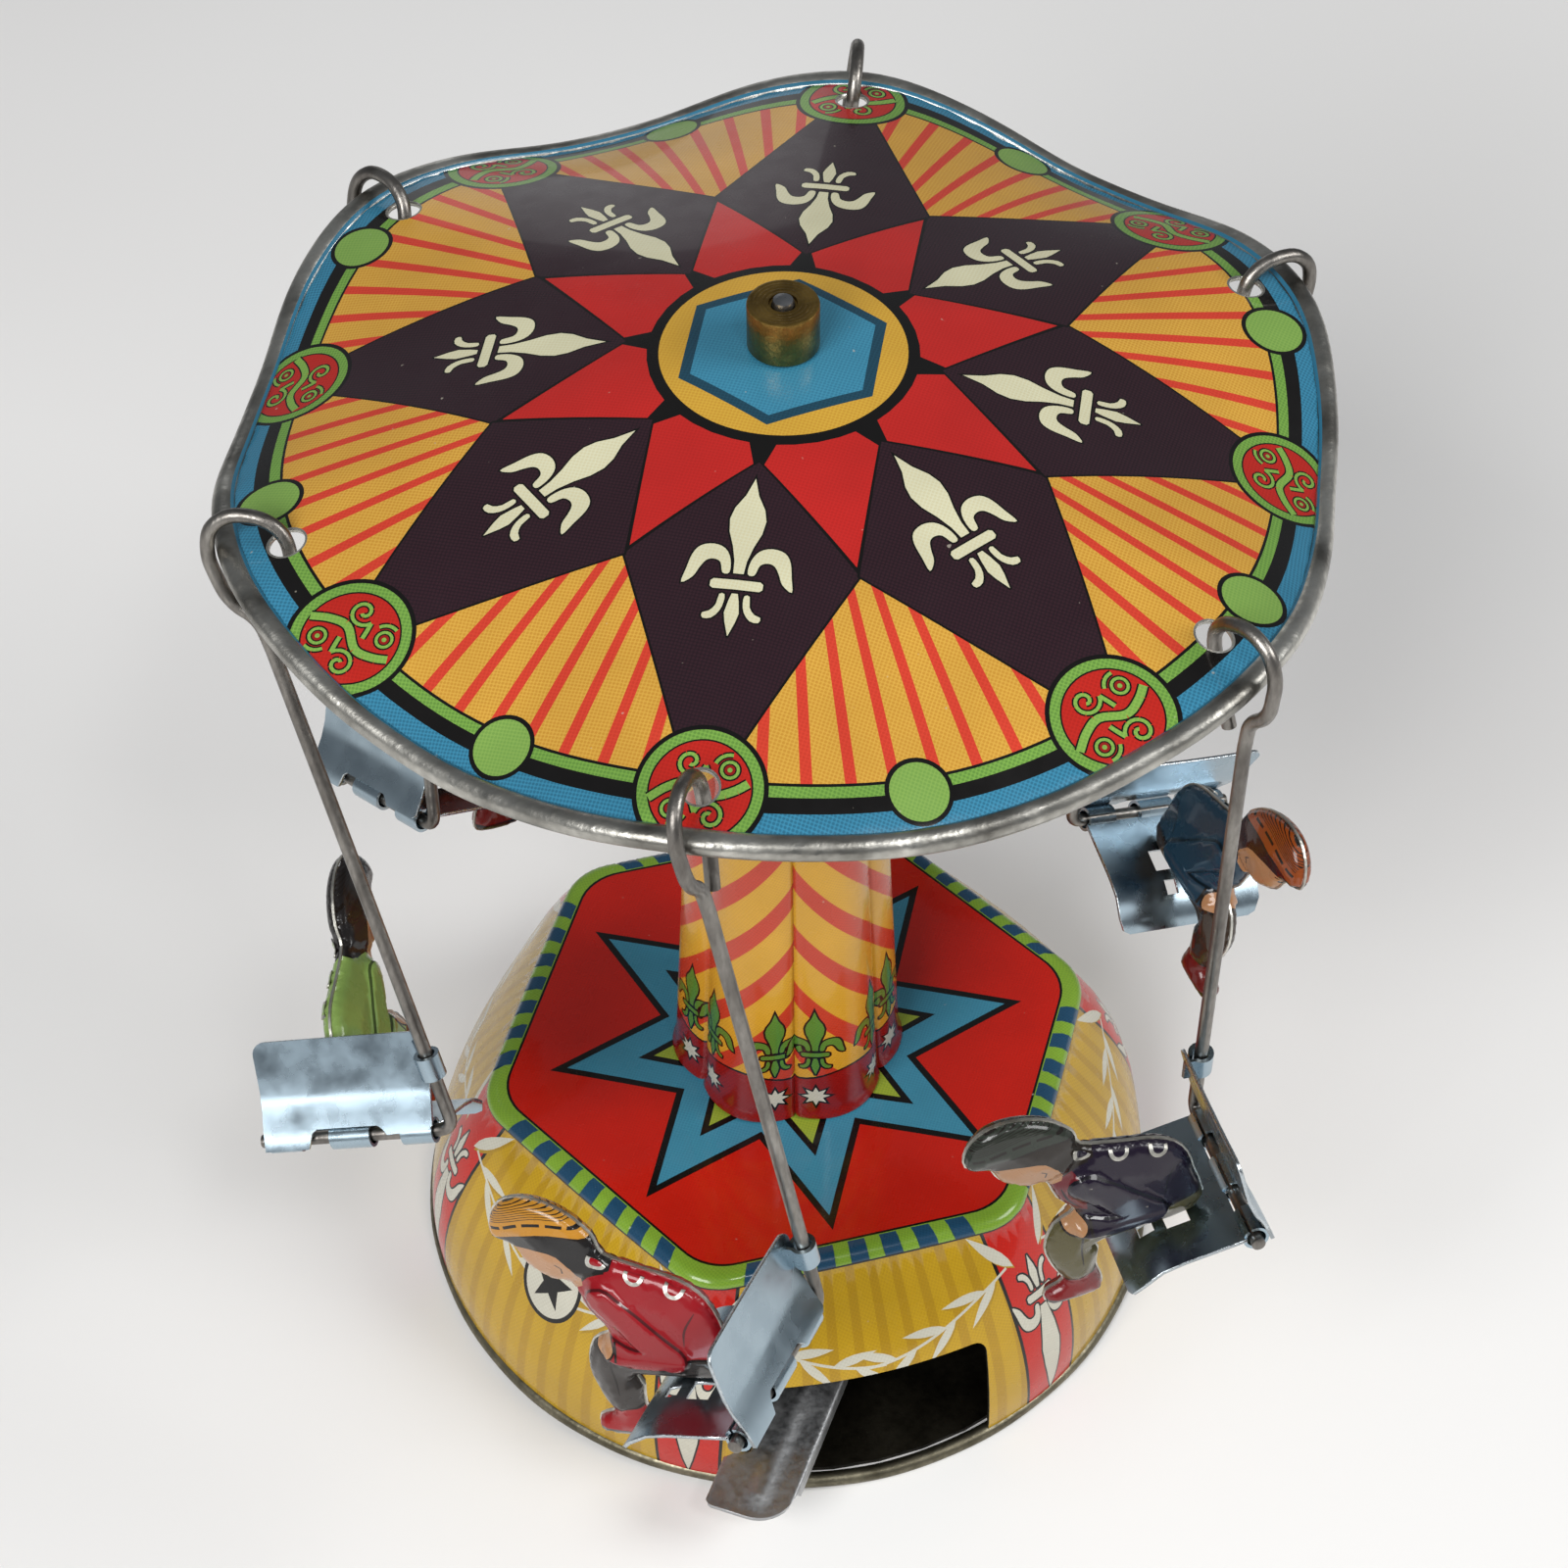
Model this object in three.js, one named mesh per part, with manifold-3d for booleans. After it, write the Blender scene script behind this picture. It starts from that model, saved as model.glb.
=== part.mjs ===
// Tinplate carousel toy. A thumb lever in the base turns a pinion, the pinion's one-way spring
// drives an upright spindle, and the spindle carries a canopy with six hanging riders.
// Millimetres, +Z up along the spindle, origin at the centre of the base's underside.
// The lever's window faces -Y.
import * as THREE from 'three';
import { mergeVertices } from 'three/addons/utils/BufferGeometryUtils.js';
import Module from 'manifold-3d';

const wasm = await Module();
wasm.setup();

// ---- driving dimensions -------------------------------------------------------------------
const GAP = 0.3; // running and touching clearance between pieces
const SHEET = 0.8; // tinplate thickness of the large pressings
const SIDES = 6; // the base, post and canopy rim all repeat six times

// base: a rounded hexagon on top that blends into a round foot
const BASE = { foot: 54.9, height: 36.2, flat: 39.3, cornerRound: 8, faceBulge: 4.2, cornerBulge: 3.9 };
const BASE_WALL = 1.1;
const FOOT_BEAD = { radius: 1.2, centre: 54.6 };
const BASE_HOLE = 9;
const FLOOR_RADIUS = 52.4;
const WINDOW = { left: -19.8, right: 16.6, bottom: 3, top: 20.3, corner: 2 };
const ROUND_STEPS = 48; // facets round the base and the canopy

// post: six rounded lobes with sharp creases between them
const POST = { foot: 16.6, taper: 0.051, top: 160, crease: 259.7, lobeDepth: 0.11, steps: 6 };
const POST_WALL = 1.4;
const POST_HOLE = 5.3; // in the post's closed top
const POST_TAB = { count: 3, radius: 15.4, width: 4, thick: 0.8, below: 2.2 };

// canopy: a shallow dome whose rim rises and widens at the six hooks
const CANOPY = { centre: 170, fall: 12.2, at: 62, power: 1.68, rise: 1.8, widen: 0.9 };
const RIM_BEAD = { centre: 68.3, radius: 1.15, below: 0.7 };
const HOOK = { radius: 62.1, first: 246.93, hole: 2.3 };

// spindle train
const SPINDLE = { radius: 1.6, neck: 1.3, foot: 2.3, shoulder: 169, top: 177.2 };
const BORE = SPINDLE.radius + GAP;
const LOWER_BEARING = { radius: 4.2, top: 5.4 };
const UPPER_BEARING = { low: 154, radius: 5, flange: 7.5, flangeThick: 1 };
const BUSH = { low: 162.6, radius: 3, flange: 6.5, flangeLow: 167.4, top: 168.7 };
const NUT = { radius: 4.4, height: 6.3 };
const MODULE = 1;
const PINION_TEETH = 8;
const SECTOR_TEETH = 28; // on the full circle that the sector is cut from
const CENTRES = (MODULE * (PINION_TEETH + SECTOR_TEETH)) / 2 + 0.2;
const GEAR_Z = { low: 8, high: 10 };
const SECTOR_HUB = 5.4;
const SECTOR_ARM = 6.4; // the strip riveted to the lever
const PIVOT_ANGLE = -33.9; // direction of the lever's pivot from the spindle
const PIVOT = new THREE.Vector2(CENTRES, 0).rotateAround(new THREE.Vector2(), rad(PIVOT_ANGLE));
const PIVOT_PIN = 2;
const BRIDGE = { radius: 30, low: 22, high: 23.2, pillarRing: 26, pillar: 2 };
const PIVOT_FOOT = 4;
const PILLAR_ANGLES = [90, 195, 345];
const FLYWHEEL = { radius: 28, rim: 7, low: 25, high: 31, web: [26.8, 28.2] };
const COLLAR = { radius: 3, hubTop: 15, low: 15.3, high: 20 };
const SPRING_WIRE = { radius: 0.45, sides: 4 };
const CLUTCH_SPRING = { low: 12, high: 19, turns: 4 };
const RETURN_SPRING = { radius: 3.6, low: 13, high: 19, turns: 4.25, leg: [-4, 0.6, 0.4] };
const LEVER_STOP = { along: 38, radius: 1.5, top: 13 };

// lever, along its own +X from the pivot
const LEVER = { angle: 235.4, length: 64.8, width: 9.4, low: 10.4, high: 11.4, boss: 6 };
const LEVER_CORNERS = [1.5, 6];
const LEVER_FLANGE = { from: 24, to: 58, drop: 2.6, thick: 0.8 };
const RIVETS = [7.5, 11.5];
const RIVET = { radius: 1, head: 1.8, headHeight: 0.6 };

// hanger wire in its own X-Z plane: X outward from the hook's hole, Z up
const WIRE = { radius: 0.9, legX: 6.6, leg: 85.2, bend: 2.2, bar: 27.2, sides: 6 };
const EYE = [
  [3.9, -12.4], [1.6, -6.5], [0.2, -2], [0.2, 1], [2, 3.4], [5.5, 4.6],
  [9, 3.4], [10.7, 0.2], [10.2, -3.8], [8.2, -8.2], [6.7, -12.2], [6.6, -16],
];

// seat, in a frame whose X runs along the wire's bar and whose -Y is the way the rider faces
const SEAT = { from: 2.2, to: 26.4, depth: 17, back: 13.4, thick: 0.6, lip: 2.6, lipFrom: 10.5 };
const KNUCKLE = { outer: 1.85, inner: WIRE.radius + GAP, spans: [[2.8, 7], [11.5, 17], [21.5, 26]] };
const SEAT_SLOTS = [[8.3, 3.2], [12.4, 2]]; // distance forward of the bar, and size
const SLOT_X = [11.7, 18.3];
const LEG_LOOP = { at: 9.6, height: 2.6, outer: 1.9, inner: 1.25 };

// rider: a flat two-sided figure, its outline as [forward of the bar, up]
const RIDER = { x: 15, half: 3.1, bevel: 1.3, split: 0.15 };
const RIDER_OUTLINE = [
  [5.2, 0.8], [18.2, 0.8], [18.9, -1.5], [19.7, -4.6], [19.5, -8], [20.9, -9.3], [26.6, -8.9],
  [26.9, -6.7], [24.2, -5.5], [25, -2], [25.3, 2], [23.4, 5.8], [20.3, 7.6], [22, 11.2],
  [22.9, 15.4], [25.4, 16], [28.2, 18.4], [29.2, 21.2], [31.8, 22.8], [31, 25.8], [28.2, 27.9],
  [24.4, 27.8], [20.6, 25.8], [18, 22.4], [17.4, 19.5], [13, 17.4], [8, 15.4], [5.2, 12.4],
  [4.4, 7.5],
];

// how each hand-bent hanger hangs, in degrees: twist about its hook, sway along the rim and
// swing away from the spindle, then the bar's own twist and tilt and the seat's pitch on it
const HANGERS = [
  { twist: -5, sway: 10.5, swing: 1, barTwist: -7, barTilt: 12, pitch: 12 },
  { twist: -12, sway: 1, swing: -1, barTwist: -27, barTilt: 13, pitch: 13 },
  { twist: 4, sway: -6, swing: -21.5, barTwist: 2, barTilt: 4.5, pitch: 23 },
  { twist: 5, sway: 6, swing: -8, barTwist: 0, barTilt: 5, pitch: 10 },
  { twist: -8, sway: 20, swing: -25, barTwist: -5, barTilt: 11, pitch: 6 },
  { twist: -28.5, sway: 17, swing: -17, barTwist: -5.5, barTilt: 2, pitch: 20 },
];

// how each figure stands bent on its board: its own backward nod and sideways lean in degrees
// about the foot of its joint line, and how far it is then off to the side and lifted
const STANCE_FORWARD = 12;
const STANCES = [
  { nod: 0, lean: 0, aside: 0, lift: 0 },
  { nod: -1, lean: 7, aside: 2, lift: 0.5 },
  { nod: -10, lean: -6, aside: -2, lift: 1.6 },
  { nod: 0, lean: 0, aside: 0, lift: 0 },
  { nod: 0, lean: 0, aside: 0, lift: 0 },
  { nod: -15, lean: 6, aside: 0, lift: 2.6 },
];
const JACKETS = ['#b3161b', '#2a1733', '#1d3f57', '#7b4a1e', '#394a8c', '#6f8f3a'];

// ---- small helpers ------------------------------------------------------------------------
function rad(degrees) {
  return THREE.MathUtils.degToRad(degrees);
}

// a closed body ready to cut or export: welded, no slivers, faces outward
function closed(geometry) {
  const bare = geometry.clone();
  bare.deleteAttribute('normal');
  bare.deleteAttribute('uv');
  const welded = mergeVertices(bare, 1e-4);
  const at = welded.attributes.position;
  const corners = [];
  let volume = 0;
  const [a, b, c] = [new THREE.Vector3(), new THREE.Vector3(), new THREE.Vector3()];
  for (let i = 0; i < welded.index.count; i += 3) {
    const [p, q, r] = [0, 1, 2].map((k) => welded.index.getX(i + k));
    if (p === q || q === r || r === p) continue;
    corners.push(p, q, r);
    a.fromBufferAttribute(at, p);
    b.fromBufferAttribute(at, q);
    c.fromBufferAttribute(at, r);
    volume += a.dot(b.cross(c));
  }
  welded.setIndex(volume < 0 ? corners.reverse() : corners);
  return welded;
}

function solid(geometry) {
  const body = closed(geometry);
  const vertProperties = new Float32Array(body.attributes.position.array);
  const triVerts = new Uint32Array(body.index.array);
  return new wasm.Manifold(new wasm.Mesh({ numProp: 3, vertProperties, triVerts }));
}

function geometryOf(body) {
  const mesh = body.getMesh();
  const geometry = new THREE.BufferGeometry();
  geometry.setAttribute('position', new THREE.Float32BufferAttribute(mesh.vertProperties, 3));
  geometry.setIndex(Array.from(mesh.triVerts));
  return geometry;
}

function join(first, ...others) {
  return geometryOf(others.reduce((body, next) => body.add(solid(next)), solid(first)));
}

function cut(first, ...others) {
  return geometryOf(others.reduce((body, next) => body.subtract(solid(next)), solid(first)));
}

function block(x0, x1, y0, y1, z0, z1) {
  const geometry = new THREE.BoxGeometry(x1 - x0, y1 - y0, z1 - z0);
  return geometry.translate((x0 + x1) / 2, (y0 + y1) / 2, (z0 + z1) / 2);
}

// an upright cylinder from z0 to z1 at (x, y)
function rod(radius, z0, z1, x = 0, y = 0, sides = 16) {
  const geometry = new THREE.CylinderGeometry(radius, radius, z1 - z0, sides);
  return geometry.rotateX(Math.PI / 2).translate(x, y, (z0 + z1) / 2);
}

// a profile of [radius, height] pairs turned about +Z, from the axis round to the axis
function turned(profile, sides) {
  const points = profile.map(([r, z]) => new THREE.Vector2(r, z));
  return new THREE.LatheGeometry(points, sides).rotateX(Math.PI / 2);
}

// the same for a ring, whose profile closes on itself
function revolve(profile, sides) {
  return turned([...profile, profile[0]], sides);
}

// moves every vertex through a function of its angle, radius and height
function warp(geometry, move) {
  const at = geometry.attributes.position;
  for (let i = 0; i < at.count; i += 1) {
    const angle = Math.atan2(at.getY(i), at.getX(i));
    const [r, z] = move(angle, Math.hypot(at.getX(i), at.getY(i)), at.getZ(i));
    at.setXYZ(i, r * Math.cos(angle), r * Math.sin(angle), z);
  }
  return geometry;
}

// a flat shape of [x, y] points with round holes, extruded from z0 to z1
function plate(points, z0, z1, holes = []) {
  const shape = new THREE.Shape(points.map(([x, y]) => new THREE.Vector2(x, y)));
  for (const [x, y, radius] of holes) {
    shape.holes.push(new THREE.Path().absarc(x, y, radius, 0, 2 * Math.PI, true));
  }
  const options = { depth: z1 - z0, bevelEnabled: false, curveSegments: 6 };
  return new THREE.ExtrudeGeometry(shape, options).translate(0, 0, z0);
}

function arc(x, y, radius, from, to, steps) {
  const points = [];
  for (let i = 0; i <= steps; i += 1) {
    const angle = rad(from + ((to - from) * i) / steps);
    points.push([x + radius * Math.cos(angle), y + radius * Math.sin(angle)]);
  }
  return points;
}

function circle(radius, sides) {
  return arc(0, 0, radius, 0, 360 - 360 / sides, sides - 1);
}

// a path that puts one tube section at each of its knots
class KnotPath extends THREE.Curve {
  constructor(knots) {
    super();
    this.knots = knots;
  }

  getPoint(t, target = new THREE.Vector3()) {
    const place = t * (this.knots.length - 1);
    const i = Math.min(Math.floor(place + 1e-6), this.knots.length - 2);
    return target.lerpVectors(this.knots[i], this.knots[i + 1], place - i);
  }

  getPointAt(u, target) {
    return this.getPoint(u, target);
  }

  getTangentAt(u, target = new THREE.Vector3()) {
    const last = this.knots.length - 1;
    const i = Math.round(u * last);
    const before = this.knots[Math.max(i - 1, 0)].clone();
    const here = this.knots[i];
    const after = this.knots[Math.min(i + 1, last)].clone();
    target.copy(here).sub(before).normalize();
    return target.add(after.sub(here).normalize()).normalize();
  }
}

function tube(knots, radius, sides) {
  const shape = new THREE.Shape(circle(radius, sides).map(([x, y]) => new THREE.Vector2(x, y)));
  const extrudePath = new KnotPath(knots);
  return new THREE.ExtrudeGeometry(shape, { steps: knots.length - 1, extrudePath });
}

function helix(radius, z0, z1, turns, stepsPerTurn) {
  const knots = [];
  const count = Math.round(turns * stepsPerTurn);
  for (let i = 0; i <= count; i += 1) {
    const angle = (2 * Math.PI * i) / stepsPerTurn;
    const height = z0 + ((z1 - z0) * i) / count;
    knots.push(new THREE.Vector3(radius * Math.cos(angle), radius * Math.sin(angle), height));
  }
  return knots;
}

function material(color, roughness, metalness) {
  return new THREE.MeshStandardMaterial({ color, roughness, metalness });
}

function part(name, geometry, surface) {
  const mesh = new THREE.Mesh(closed(geometry), surface);
  mesh.name = name;
  return mesh;
}

const LITHO_RED = material('#b01216', 0.3, 0.1);
const LITHO_YELLOW = material('#c9a227', 0.3, 0.1);
const LITHO_CANOPY = material('#33202c', 0.3, 0.1);
const BARE_TIN = material('#b9bdbf', 0.35, 0.9);
const SEAT_TIN = material('#8fa3ab', 0.3, 0.9);
const STEEL = material('#8d8f92', 0.35, 0.95);
const DARK_STEEL = material('#56565a', 0.45, 0.9);
const BRASS = material('#a8874a', 0.4, 0.9);
const SPRING_STEEL = material('#6f7276', 0.35, 0.95);

// ---- base ---------------------------------------------------------------------------------
// radius of the side at the middle of a face, and how much further out a corner is
function faceRadius(z) {
  const up = z / BASE.height;
  return BASE.flat + (BASE.foot - BASE.flat) * (1 - up) + 4 * BASE.faceBulge * up * (1 - up);
}

function hexCorner() {
  return (BASE.flat - BASE.cornerRound) / Math.cos(Math.PI / 6) + BASE.cornerRound;
}

function cornerReach(z) {
  const up = z / BASE.height;
  const corner = hexCorner();
  const radius = corner + (BASE.foot - corner) * (1 - up) + 4 * BASE.cornerBulge * up * (1 - up);
  return radius - faceRadius(z);
}

// 0 at the middle of a face and 1 on a corner of the rounded hexagon
function cornerness(angle) {
  const turn = Math.PI / 3;
  const off = Math.abs(((((angle + Math.PI / 2 + turn / 2) % turn) + turn) % turn) - turn / 2);
  const { flat, cornerRound } = BASE;
  const flatEnd = Math.atan(((flat - cornerRound) * Math.tan(turn / 2)) / flat);
  if (off < flatEnd) return (flat / Math.cos(off) - flat) / (hexCorner() - flat);
  const centre = (flat - cornerRound) / Math.cos(turn / 2);
  const fromCorner = turn / 2 - off;
  const reach = Math.sqrt(cornerRound ** 2 - (centre * Math.sin(fromCorner)) ** 2);
  return (centre * Math.cos(fromCorner) + reach - flat) / (hexCorner() - flat);
}

function baseShell() {
  const { height } = BASE;
  const shoulder = height - 1.8; // where the side starts to turn over into the flat top
  const outer = [shoulder, 30, 23, 16, 9, 2.8].map((z) => [faceRadius(z), z]);
  const inner = [2.8, 12, 22, 30].map((z) => [faceRadius(z) - BASE_WALL, z]);
  const bead = arc(FOOT_BEAD.centre, FOOT_BEAD.radius, FOOT_BEAD.radius, 150, 420, 6).reverse();
  const profile = [
    ...outer, ...bead, ...inner,
    [faceRadius(height) - 2, height - SHEET],
    [BASE_HOLE, height - SHEET],
    [BASE_HOLE, height],
    [faceRadius(height) - 1.6, height],
    [faceRadius(height - 0.8) - 0.3, height - 0.6],
  ];
  const shell = warp(revolve(profile, ROUND_STEPS), (angle, r, z) => {
    const level = Math.min(Math.max(z, 0), height);
    return [r + cornerness(angle) * cornerReach(level) * Math.min(r / faceRadius(level), 1), z];
  });
  return cut(shell, windowCutter(), ...postTabs(POST_TAB.thick + GAP, POST_TAB.width + 2 * GAP));
}

function windowCutter() {
  const { left, right, bottom, top, corner } = WINDOW;
  const outline = [
    [left, bottom], [right, bottom], ...arc(right - corner, top - corner, corner, 0, 90, 3),
    ...arc(left + corner, top - corner, corner, 90, 180, 3),
  ];
  // drawn in X-Z, then run out through the front wall
  return plate(outline, BASE.flat, BASE.foot + 8).rotateX(Math.PI / 2);
}

function baseFloor() {
  return rod(FLOOR_RADIUS, 0, SHEET, 0, 0, 48);
}

// ---- post ---------------------------------------------------------------------------------
function postRadius(z) {
  return POST.foot - POST.taper * (z - BASE.height);
}

// 1 on the crown of a lobe, falling to a sharp crease between two lobes
function lobe(angle) {
  const turn = (2 * Math.PI) / SIDES;
  const from = (((angle - rad(POST.crease)) % turn) + turn) % turn;
  return 1 - POST.lobeDepth * (1 - Math.sin((Math.PI * from) / turn));
}

function postTabs(thick, width) {
  const tabs = [];
  for (let i = 0; i < POST_TAB.count; i += 1) {
    const { radius, count, below } = POST_TAB;
    const [near, far] = [radius - thick / 2, radius + thick / 2];
    const tab = block(near, far, -width / 2, width / 2, BASE.height - below, BASE.height + 3);
    tabs.push(tab.rotateZ(rad(POST.crease + 180 / SIDES + (360 * i) / count)));
  }
  return tabs;
}

function postShell() {
  const foot = BASE.height + GAP;
  const { top, crease, steps } = POST;
  const outer = [foot + 2, 98, top].map((z) => [postRadius(z), z]);
  const inner = [top - SHEET, 98, foot].map((z) => [postRadius(z) - POST_WALL, z]);
  const profile = [
    [postRadius(foot) - 0.5, foot], ...outer, [POST_HOLE, top], [POST_HOLE, top - SHEET], ...inner,
  ];
  const shell = revolve(profile, SIDES * steps).rotateZ(rad(crease));
  const lobed = warp(shell, (angle, r, z) => [r > POST_HOLE + 1 ? r * lobe(angle) : r, z]);
  return join(lobed, ...postTabs(POST_TAB.thick, POST_TAB.width));
}

// ---- spindle and bearings -----------------------------------------------------------------
function spindle() {
  const { radius, neck, foot, shoulder, top } = SPINDLE;
  return turned([
    [0, foot], [radius, foot], [radius, shoulder], [neck, shoulder],
    [neck, top - 0.4], [neck - 0.4, top], [0, top],
  ], 12);
}

function lowerBearing() {
  const floor = SHEET + GAP;
  const step = SPINDLE.foot - GAP;
  const { radius, top } = LOWER_BEARING;
  return turned([[0, floor], [radius, floor], [radius, top], [BORE, top], [BORE, step], [0, step]], 16);
}

function upperBearing() {
  const seat = POST.top + GAP;
  const { low, radius, flange, flangeThick } = UPPER_BEARING;
  const high = seat + flangeThick;
  return revolve([
    [BORE, low], [radius, low], [radius, seat], [flange, seat], [flange, high], [BORE, high],
  ], 16);
}

function canopyBush() {
  const { low, radius, flange, flangeLow, top } = BUSH;
  return revolve([
    [BORE, low], [radius, low], [radius, flangeLow], [flange, flangeLow + 0.4], [flange, top], [BORE, top],
  ], 16);
}

function hubNut() {
  const bore = SPINDLE.neck + GAP;
  const low = CANOPY.centre + GAP;
  const { radius, height } = NUT;
  return revolve([
    [bore, low], [radius - 0.2, low], [radius, low + 0.8], [radius - 0.5, low + height - 1.7],
    [radius - 1.3, low + height - 0.4], [bore, low + height],
  ], 16);
}

function flywheel() {
  const { radius, rim, low, high, web: [under, over] } = FLYWHEEL;
  const inside = radius - rim;
  const hub = 5;
  return revolve([
    [BORE, low - 1], [hub, low - 1], [hub, under], [inside, under], [inside, low],
    [radius, low], [radius, high], [inside, high], [inside, over], [BORE, over],
  ], 24);
}

function clutchCollar() {
  const { radius, low, high } = COLLAR;
  return revolve([[BORE, low], [radius, low], [radius, high], [BORE, high]], 16);
}

// ---- gears --------------------------------------------------------------------------------
// outline points of teeth whose first is centred at the given angle
function teeth(count, pitchCount, firstAngle) {
  const pitch = (MODULE * pitchCount) / 2;
  const step = 360 / pitchCount;
  const points = [];
  for (let i = 0; i < count; i += 1) {
    const middle = firstAngle + i * step;
    const [root, tip] = [pitch - 1.1 * MODULE, pitch + 0.8 * MODULE];
    for (const [radius, share] of [[root, -0.27], [tip, -0.1], [tip, 0.1], [root, 0.27]]) {
      const angle = rad(middle + share * step);
      points.push([radius * Math.cos(angle), radius * Math.sin(angle)]);
    }
  }
  return points;
}

function drivePinion() {
  const [low, high] = [GEAR_Z.low - 0.8, GEAR_Z.high + 0.8];
  const outline = teeth(PINION_TEETH, PINION_TEETH, PIVOT_ANGLE + 180 / PINION_TEETH);
  const { radius, hubTop } = COLLAR;
  const hub = revolve([
    [BORE, high - GAP], [radius - 0.1, high - GAP], [radius, hubTop], [BORE, hubTop],
  ], 14);
  return join(plate(outline, low, high, [[0, 0, BORE]]), hub);
}

function clutchSpring() {
  const { low, high, turns } = CLUTCH_SPRING;
  const { radius, sides } = SPRING_WIRE;
  return tube(helix(COLLAR.radius + GAP + radius + 0.05, low, high, turns, 10), radius, sides);
}

// the sector in the lever's own frame, with one tooth on the line of centres at rest
function sectorGear() {
  const contact = PIVOT_ANGLE + 180 - LEVER.angle;
  const step = 360 / SECTOR_TEETH;
  const first = contact - 4 * step;
  const count = 6;
  const last = first + (count - 1) * step;
  const hub = arc(0, 0, SECTOR_HUB, last + 50, first - 50 + 360, 10);
  const sector = plate([...teeth(count, SECTOR_TEETH, first), ...hub], GEAR_Z.low, GEAR_Z.high);
  const arm = block(0, 14, -SECTOR_ARM / 2, SECTOR_ARM / 2, GEAR_Z.low, GEAR_Z.high);
  const holes = [[0, PIVOT_PIN], ...RIVETS.map((x) => [x, RIVET.radius])];
  const drills = holes.map(([x, radius]) => rod(radius + GAP, GEAR_Z.low - 1, GEAR_Z.high + 1, x, 0, 12));
  return cut(join(sector, arm), ...drills);
}

function lever() {
  const { length, width, low, high, boss } = LEVER;
  const half = width / 2;
  const [small, large] = LEVER_CORNERS;
  const outline = [
    ...arc(0, 0, boss, 60, 300, 8), [14, -half],
    ...arc(length - small, small - half, small, 270, 360, 2),
    ...arc(length - large, half - large, large, 0, 90, 4), [14, half],
  ];
  const holes = [[0, 0, PIVOT_PIN + GAP], ...RIVETS.map((x) => [x, 0, RIVET.radius + GAP])];
  const { from, to, drop, thick } = LEVER_FLANGE;
  const flanges = [half - thick, -half].map((y) => block(from, to, y, y + thick, low - drop, low + 0.5));
  return join(plate(outline, low, high, holes), ...flanges);
}

function leverRivet() {
  const { radius, head, headHeight } = RIVET;
  const [low, high] = [GEAR_Z.low - GAP, LEVER.high + GAP];
  return turned([
    [0, low - headHeight], [head, low - headHeight], [head, low], [radius, low],
    [radius, high], [head, high], [head, high + headHeight], [0, high + headHeight],
  ], 10);
}

function leverPivot() {
  const shoulder = GEAR_Z.low - GAP;
  const [foot, top] = [SHEET + GAP, BRIDGE.high - GAP];
  return turned([
    [0, foot], [PIVOT_FOOT, foot], [PIVOT_FOOT, shoulder], [PIVOT_PIN, shoulder], [PIVOT_PIN, top], [0, top],
  ], 14);
}

// a torsion coil round the pivot, its upper leg reaching out under the bridge
function returnSpring() {
  const { radius, low, high, turns, leg } = RETURN_SPRING;
  const coil = helix(radius, low, high, turns, 8);
  const end = coil[coil.length - 1].clone().add(new THREE.Vector3(...leg));
  return tube([...coil, end], SPRING_WIRE.radius, SPRING_WIRE.sides);
}

function gearBridge() {
  const holes = [[0, 0, BORE], [PIVOT.x, PIVOT.y, PIVOT_PIN + GAP]];
  return plate(circle(BRIDGE.radius, 24), BRIDGE.low, BRIDGE.high, holes);
}

function pillar(angle) {
  const at = new THREE.Vector2(BRIDGE.pillarRing, 0).rotateAround(new THREE.Vector2(), rad(angle));
  return rod(BRIDGE.pillar, SHEET + GAP, BRIDGE.low - GAP, at.x, at.y, 10);
}

function leverStop() {
  const { along, radius, top } = LEVER_STOP;
  return rod(radius, SHEET + GAP, top, along, -(LEVER.width / 2 + GAP + radius), 10);
}

// ---- canopy -------------------------------------------------------------------------------
function domeHeight(r) {
  return CANOPY.centre - CANOPY.fall * (r / CANOPY.at) ** CANOPY.power;
}

function rimWave(angle, r, z) {
  const wave = Math.cos(SIDES * (angle - rad(HOOK.first)));
  const outward = r / CANOPY.at;
  return [r + CANOPY.widen * wave * outward ** 6, z + CANOPY.rise * wave * outward ** 3];
}

function canopy() {
  const rings = [BORE, 15, 28, 42, 55, 66.4];
  const { centre, radius, below } = RIM_BEAD;
  const bead = arc(centre, domeHeight(centre) - below, radius, 130, -170, 6);
  const profile = [
    ...rings.map((r) => [r, domeHeight(r)]), ...bead,
    ...[...rings].reverse().map((r) => [r, domeHeight(r) - SHEET]),
  ];
  const dome = warp(revolve(profile, ROUND_STEPS), rimWave);
  const holes = HANGERS.map((_, i) => {
    const at = hookPlace(i);
    return rod(HOOK.hole, at.z - 6, at.z + 6, at.x, at.y, 10);
  });
  return cut(dome, ...holes);
}

function hookAngle(i) {
  return rad(HOOK.first + (360 * i) / SIDES);
}

function hookPlace(i) {
  const angle = hookAngle(i);
  const [r, z] = rimWave(angle, HOOK.radius, domeHeight(HOOK.radius));
  return new THREE.Vector3(r * Math.cos(angle), r * Math.sin(angle), z + 0.2);
}

// ---- hangers, seats and riders ------------------------------------------------------------
// the seat's frame inside the hanger's frame
function seatFrame({ barTwist, barTilt, pitch }) {
  const frame = new THREE.Matrix4().makeTranslation(WIRE.legX, 0, -WIRE.leg);
  frame.multiply(new THREE.Matrix4().makeRotationZ(rad(barTwist)));
  frame.multiply(new THREE.Matrix4().makeRotationY(rad(-barTilt)));
  return frame.multiply(new THREE.Matrix4().makeRotationX(rad(pitch)));
}

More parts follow.
